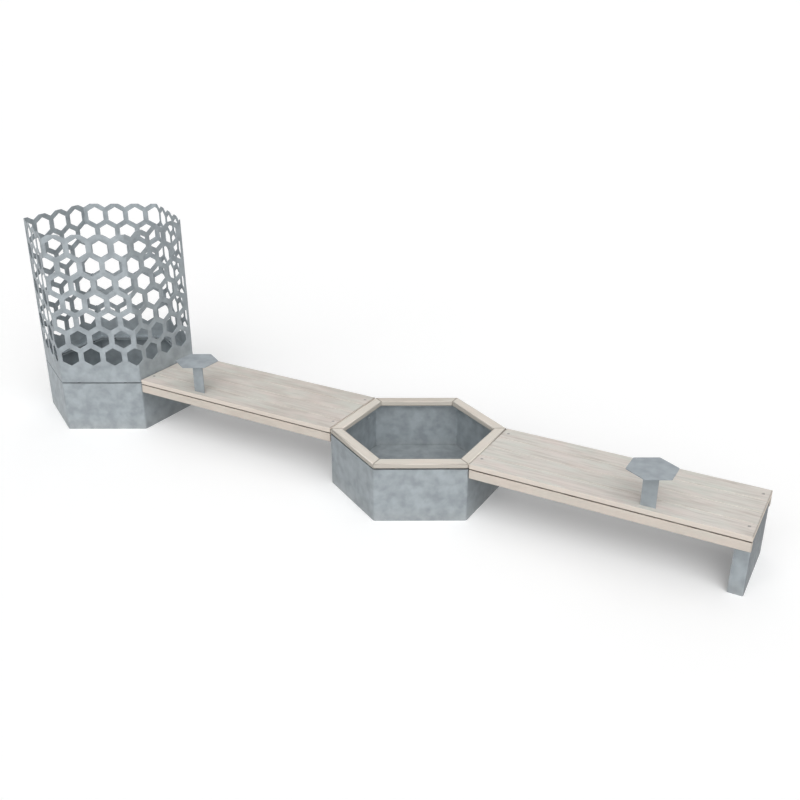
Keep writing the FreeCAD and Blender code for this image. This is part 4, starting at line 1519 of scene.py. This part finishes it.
@dataclass
class Hardware:
    """All bolts, nuts and screws, set at the places of their CAD solids."""

    kinds: tuple[Fastener, ...] = (
        Fastener("plank_bolts", Head.DOME, 0.004, 0.011, 0.0045),
        Fastener("plank_nuts", Head.NUT, 0.004, 0.00785, 0.0064),
        Fastener("plank_screws", Head.CONE, 0.003, 0.006, 0.003),
        Fastener("fascia_screws", Head.CONE, 0.003, 0.006, 0.003),
        Fastener("frame_bolts", Head.HEXAGON, 0.006, 0.01178, 0.0078, dipped=True),
        Fastener("frame_nuts", Head.NUT, 0.006, 0.01178, 0.0096, dipped=True),
        Fastener("rim_screws", Head.CONE, 0.003, 0.006, 0.003),
        Fastener("screen_bolts", Head.HEXAGON, 0.005, 0.00981, 0.0065, dipped=True),
        Fastener("screen_nuts", Head.NUT, 0.005, 0.00981, 0.008, dipped=True),
        Fastener("stem_bolts", Head.HEXAGON, 0.005, 0.00981, 0.0065, dipped=True),
        Fastener("stem_nuts", Head.NUT, 0.005, 0.00981, 0.008, dipped=True),
        Fastener("table_nuts", Head.NUT, 0.003, 0.00589, 0.0048, dipped=True),
    )

    def places(self, kind: Fastener) -> tuple[list[tuple[Vector, Vector]], float]:
        """Read where the CAD solids of one kind are.

        Args:
            kind: The kind of fastener.

        Returns:
            Each outer end with the direction from there to the tip, and the longest length.
        """
        spots = []
        longest = 0.0
        for solid in separate_solids(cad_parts[kind.node].data):
            columns = list(zip(*solid))
            low, high = (Vector([pick(column) for column in columns]) for pick in (min, max))
            spans = high - low
            unlike = [sum(abs(spans[axis] - spans[axis - step]) for step in (1, 2)) for axis in range(3)]
            axis = unlike.index(max(unlike))
            middle = (low + high) / 2
            widths = [0.0, 0.0]
            for point in solid:
                off = point - middle
                end = 0 if off[axis] < 0 else 1
                off[axis] = 0.0
                widths[end] = max(widths[end], off.length)
            way = Vector((0.0, 0.0, 0.0))
            way[axis] = 1.0 if widths[0] >= widths[1] else -1.0
            spots.append((middle - way * spans[axis] / 2, way))
            longest = max(longest, spans[axis])
        spots.sort(key=lambda spot: tuple(round(value, 4) for value in spot[0]))
        return spots, longest

    def build(self, palette: Palette) -> None:
        """Set every kind of fastener at its places.

        Args:
            palette: The finishes.
        """
        fastener_field = build_fastener_field()
        for seed, kind in enumerate(self.kinds):
            spots, length = self.places(kind)
            points = mesh_from(kind.node + "_places", [end for end, way in spots])
            direction = points.attributes.new("direction", "FLOAT_VECTOR", "POINT")
            for index, (end, way) in enumerate(spots):
                direction.data[index].vector = way
            piece = new_object(kind.node.replace("_", "_set_", 1), points)
            helper = new_object(kind.node + "_shape", kind.mesh(length))
            finish = palette.dipped if kind.dipped else palette.stainless
            grow(piece, fastener_field, {"Fastener": helper, "Seed": seed, "Finish": finish})
            discard(helper)
            stand_for(piece, [kind.node])


@dataclass(frozen=True)
class Lamp:
    """One soft distant lamp: where it stands, how strong it is and how soft its shadows are."""

    name: str
    azimuth: float
    elevation: float
    strength: float
    spread: float = 60.0


@dataclass
class Studio:
    """A pale floor, soft light and the camera at the photograph's angle."""

    azimuth: float = 29.5
    elevation: float = 23.909
    roll: float = -0.113
    focal_pixels: float = 939.34
    image_pixels: float = 800.0
    sensor: float = 36.0
    nearest: float = 0.1
    farthest: float = 1000.0
    place: Point = (3.5209, -5.506, 3.448)
    white: Colour = (1.0, 1.0, 1.0)
    floor_bounce: Colour = (0.45, 0.45, 0.45)
    floor_glow: float = 0.09
    floor_reach: float = 300.0
    sky_strength: float = 0.18
    lamps: tuple[Lamp, ...] = (
        Lamp("front_lamp", azimuth=270.0, elevation=31.0, strength=1.08),
        Lamp("right_lamp", azimuth=317.0, elevation=35.0, strength=1.82),
        Lamp("top_lamp", azimuth=0.0, elevation=88.0, strength=0.5),
        Lamp("back_lamp", azimuth=110.0, elevation=40.0, strength=0.35),
    )

    def add_camera(self) -> None:
        """Place the camera."""
        azimuth, elevation, roll = map(math.radians, (self.azimuth, self.elevation, self.roll))
        level = Vector((math.cos(azimuth), math.sin(azimuth), 0.0))
        across = math.cos(elevation)
        back = Vector((math.sin(azimuth) * across, -math.cos(azimuth) * across, math.sin(elevation)))
        upward = back.cross(level)
        right = level * math.cos(roll) - upward * math.sin(roll)
        top = level * math.sin(roll) + upward * math.cos(roll)
        turn = Matrix((right, top, back)).transposed()
        lens = bpy.data.cameras.new("photo_camera")
        lens.sensor_width = self.sensor
        lens.lens = self.focal_pixels / self.image_pixels * self.sensor
        lens.clip_start = self.nearest
        lens.clip_end = self.farthest
        camera = new_object("photo_camera", lens)
        camera.matrix_world = Matrix.Translation(self.place) @ turn.to_4x4()
        bpy.context.scene.camera = camera

    def add_floor(self) -> None:
        """Lay the pale floor."""
        reach = self.floor_reach
        corners = [(-reach, -reach, 0.0), (reach, -reach, 0.0), (reach, reach, 0.0), (-reach, reach, 0.0)]
        floor = new_object("studio_floor", mesh_from("studio_floor", corners, (), [(0, 1, 2, 3)]))
        material, sheet, shader = start_material("studio_floor")
        seen = self.seen_rays(sheet)
        inputs = {
            "Base Color": sheet.mix(seen, colour4(self.floor_bounce), colour4(self.white)),
            "Roughness": 1.0,
            "Specular IOR Level": 0.0,
            "Emission Color": colour4(self.white),
            "Emission Strength": sheet.math("MULTIPLY", seen, self.floor_glow),
        }
        sheet.feed(shader, inputs)
        floor.data.materials.append(material)

    def seen_rays(self, sheet: Sheet) -> Node:
        """Tell the rays of the camera, of reflections and of glass from those of light.

        Args:
            sheet: The tree that asks.

        Returns:
            One for the rays that see, and zero for light.
        """
        rays = sheet.add("ShaderNodeLightPath").outputs
        seeing = ("Is Camera Ray", "Is Glossy Ray", "Is Transmission Ray")
        return sheet.math("MAXIMUM", *(rays[name] for name in seeing))

    def add_lamp(self, lamp: Lamp) -> None:
        """Hang one lamp.

        Args:
            lamp: The lamp.
        """
        light = bpy.data.lights.new(lamp.name, "SUN")
        light.energy = lamp.strength
        light.angle = math.radians(lamp.spread)
        azimuth, elevation = math.radians(lamp.azimuth), math.radians(lamp.elevation)
        level = math.cos(elevation)
        towards = Vector((level * math.cos(azimuth), level * math.sin(azimuth), math.sin(elevation)))
        thing = new_object(lamp.name, light)
        thing.rotation_mode = "QUATERNION"
        thing.rotation_quaternion = towards.to_track_quat("Z", "Y")

    def add_sky(self) -> None:
        """White where the camera and reflections see it, soft light elsewhere."""
        world = bpy.data.worlds.new("studio_sky")
        world.use_nodes = True
        bpy.context.scene.world = world
        sheet = Sheet(world.node_tree)
        sheet.tree.nodes.clear()
        colour = colour4(self.white)
        strengths = (self.sky_strength, 1.0)
        skies = [sheet.add("ShaderNodeBackground", Color=colour, Strength=value) for value in strengths]
        mixed = sheet.add("ShaderNodeMixShader", self.seen_rays(sheet), *skies)
        sheet.add("ShaderNodeOutputWorld", Surface=mixed)

    def build(self) -> None:
        """Set up the whole studio."""
        self.add_camera()
        self.add_floor()
        for lamp in self.lamps:
            self.add_lamp(lamp)
        self.add_sky()
        bpy.context.scene.view_settings.view_transform = "Standard"


def main() -> None:
    """Build the looks of every sub-assembly in order."""
    logging.basicConfig(level=logging.INFO, format="%(name)s: %(message)s", stream=sys.stdout)
    palette = Palette.mixed()
    board_row = build_board_row()
    Studio().build()
    Screen().build(palette)
    LowPlanter().build(palette, board_row)
    benches = (
        # bench 1's planks take a darker tone range than bench 2's: painted shade on bench 1; the tone within
        # each range still differs at random
        Bench("bench_1", -1.870, -0.005, stem_x=-1.280, seed=11, palest_tone=0.7, darkest_tone=1.1),
        Bench("bench_2", 1.13083, 3.00083, stem_x=2.35383, seed=23, palest_tone=0.0, darkest_tone=0.25),
    )
    for bench in benches:
        bench.build(palette, board_row)
    dress(["bench_1_far_end_plate"], palette.zinc)
    # the leg takes the zinc with painted shade on its end plate
    dress(["bench_leg"], palette.washed_zinc)
    Hardware().build(palette)


if __name__ == "__main__":
    main()
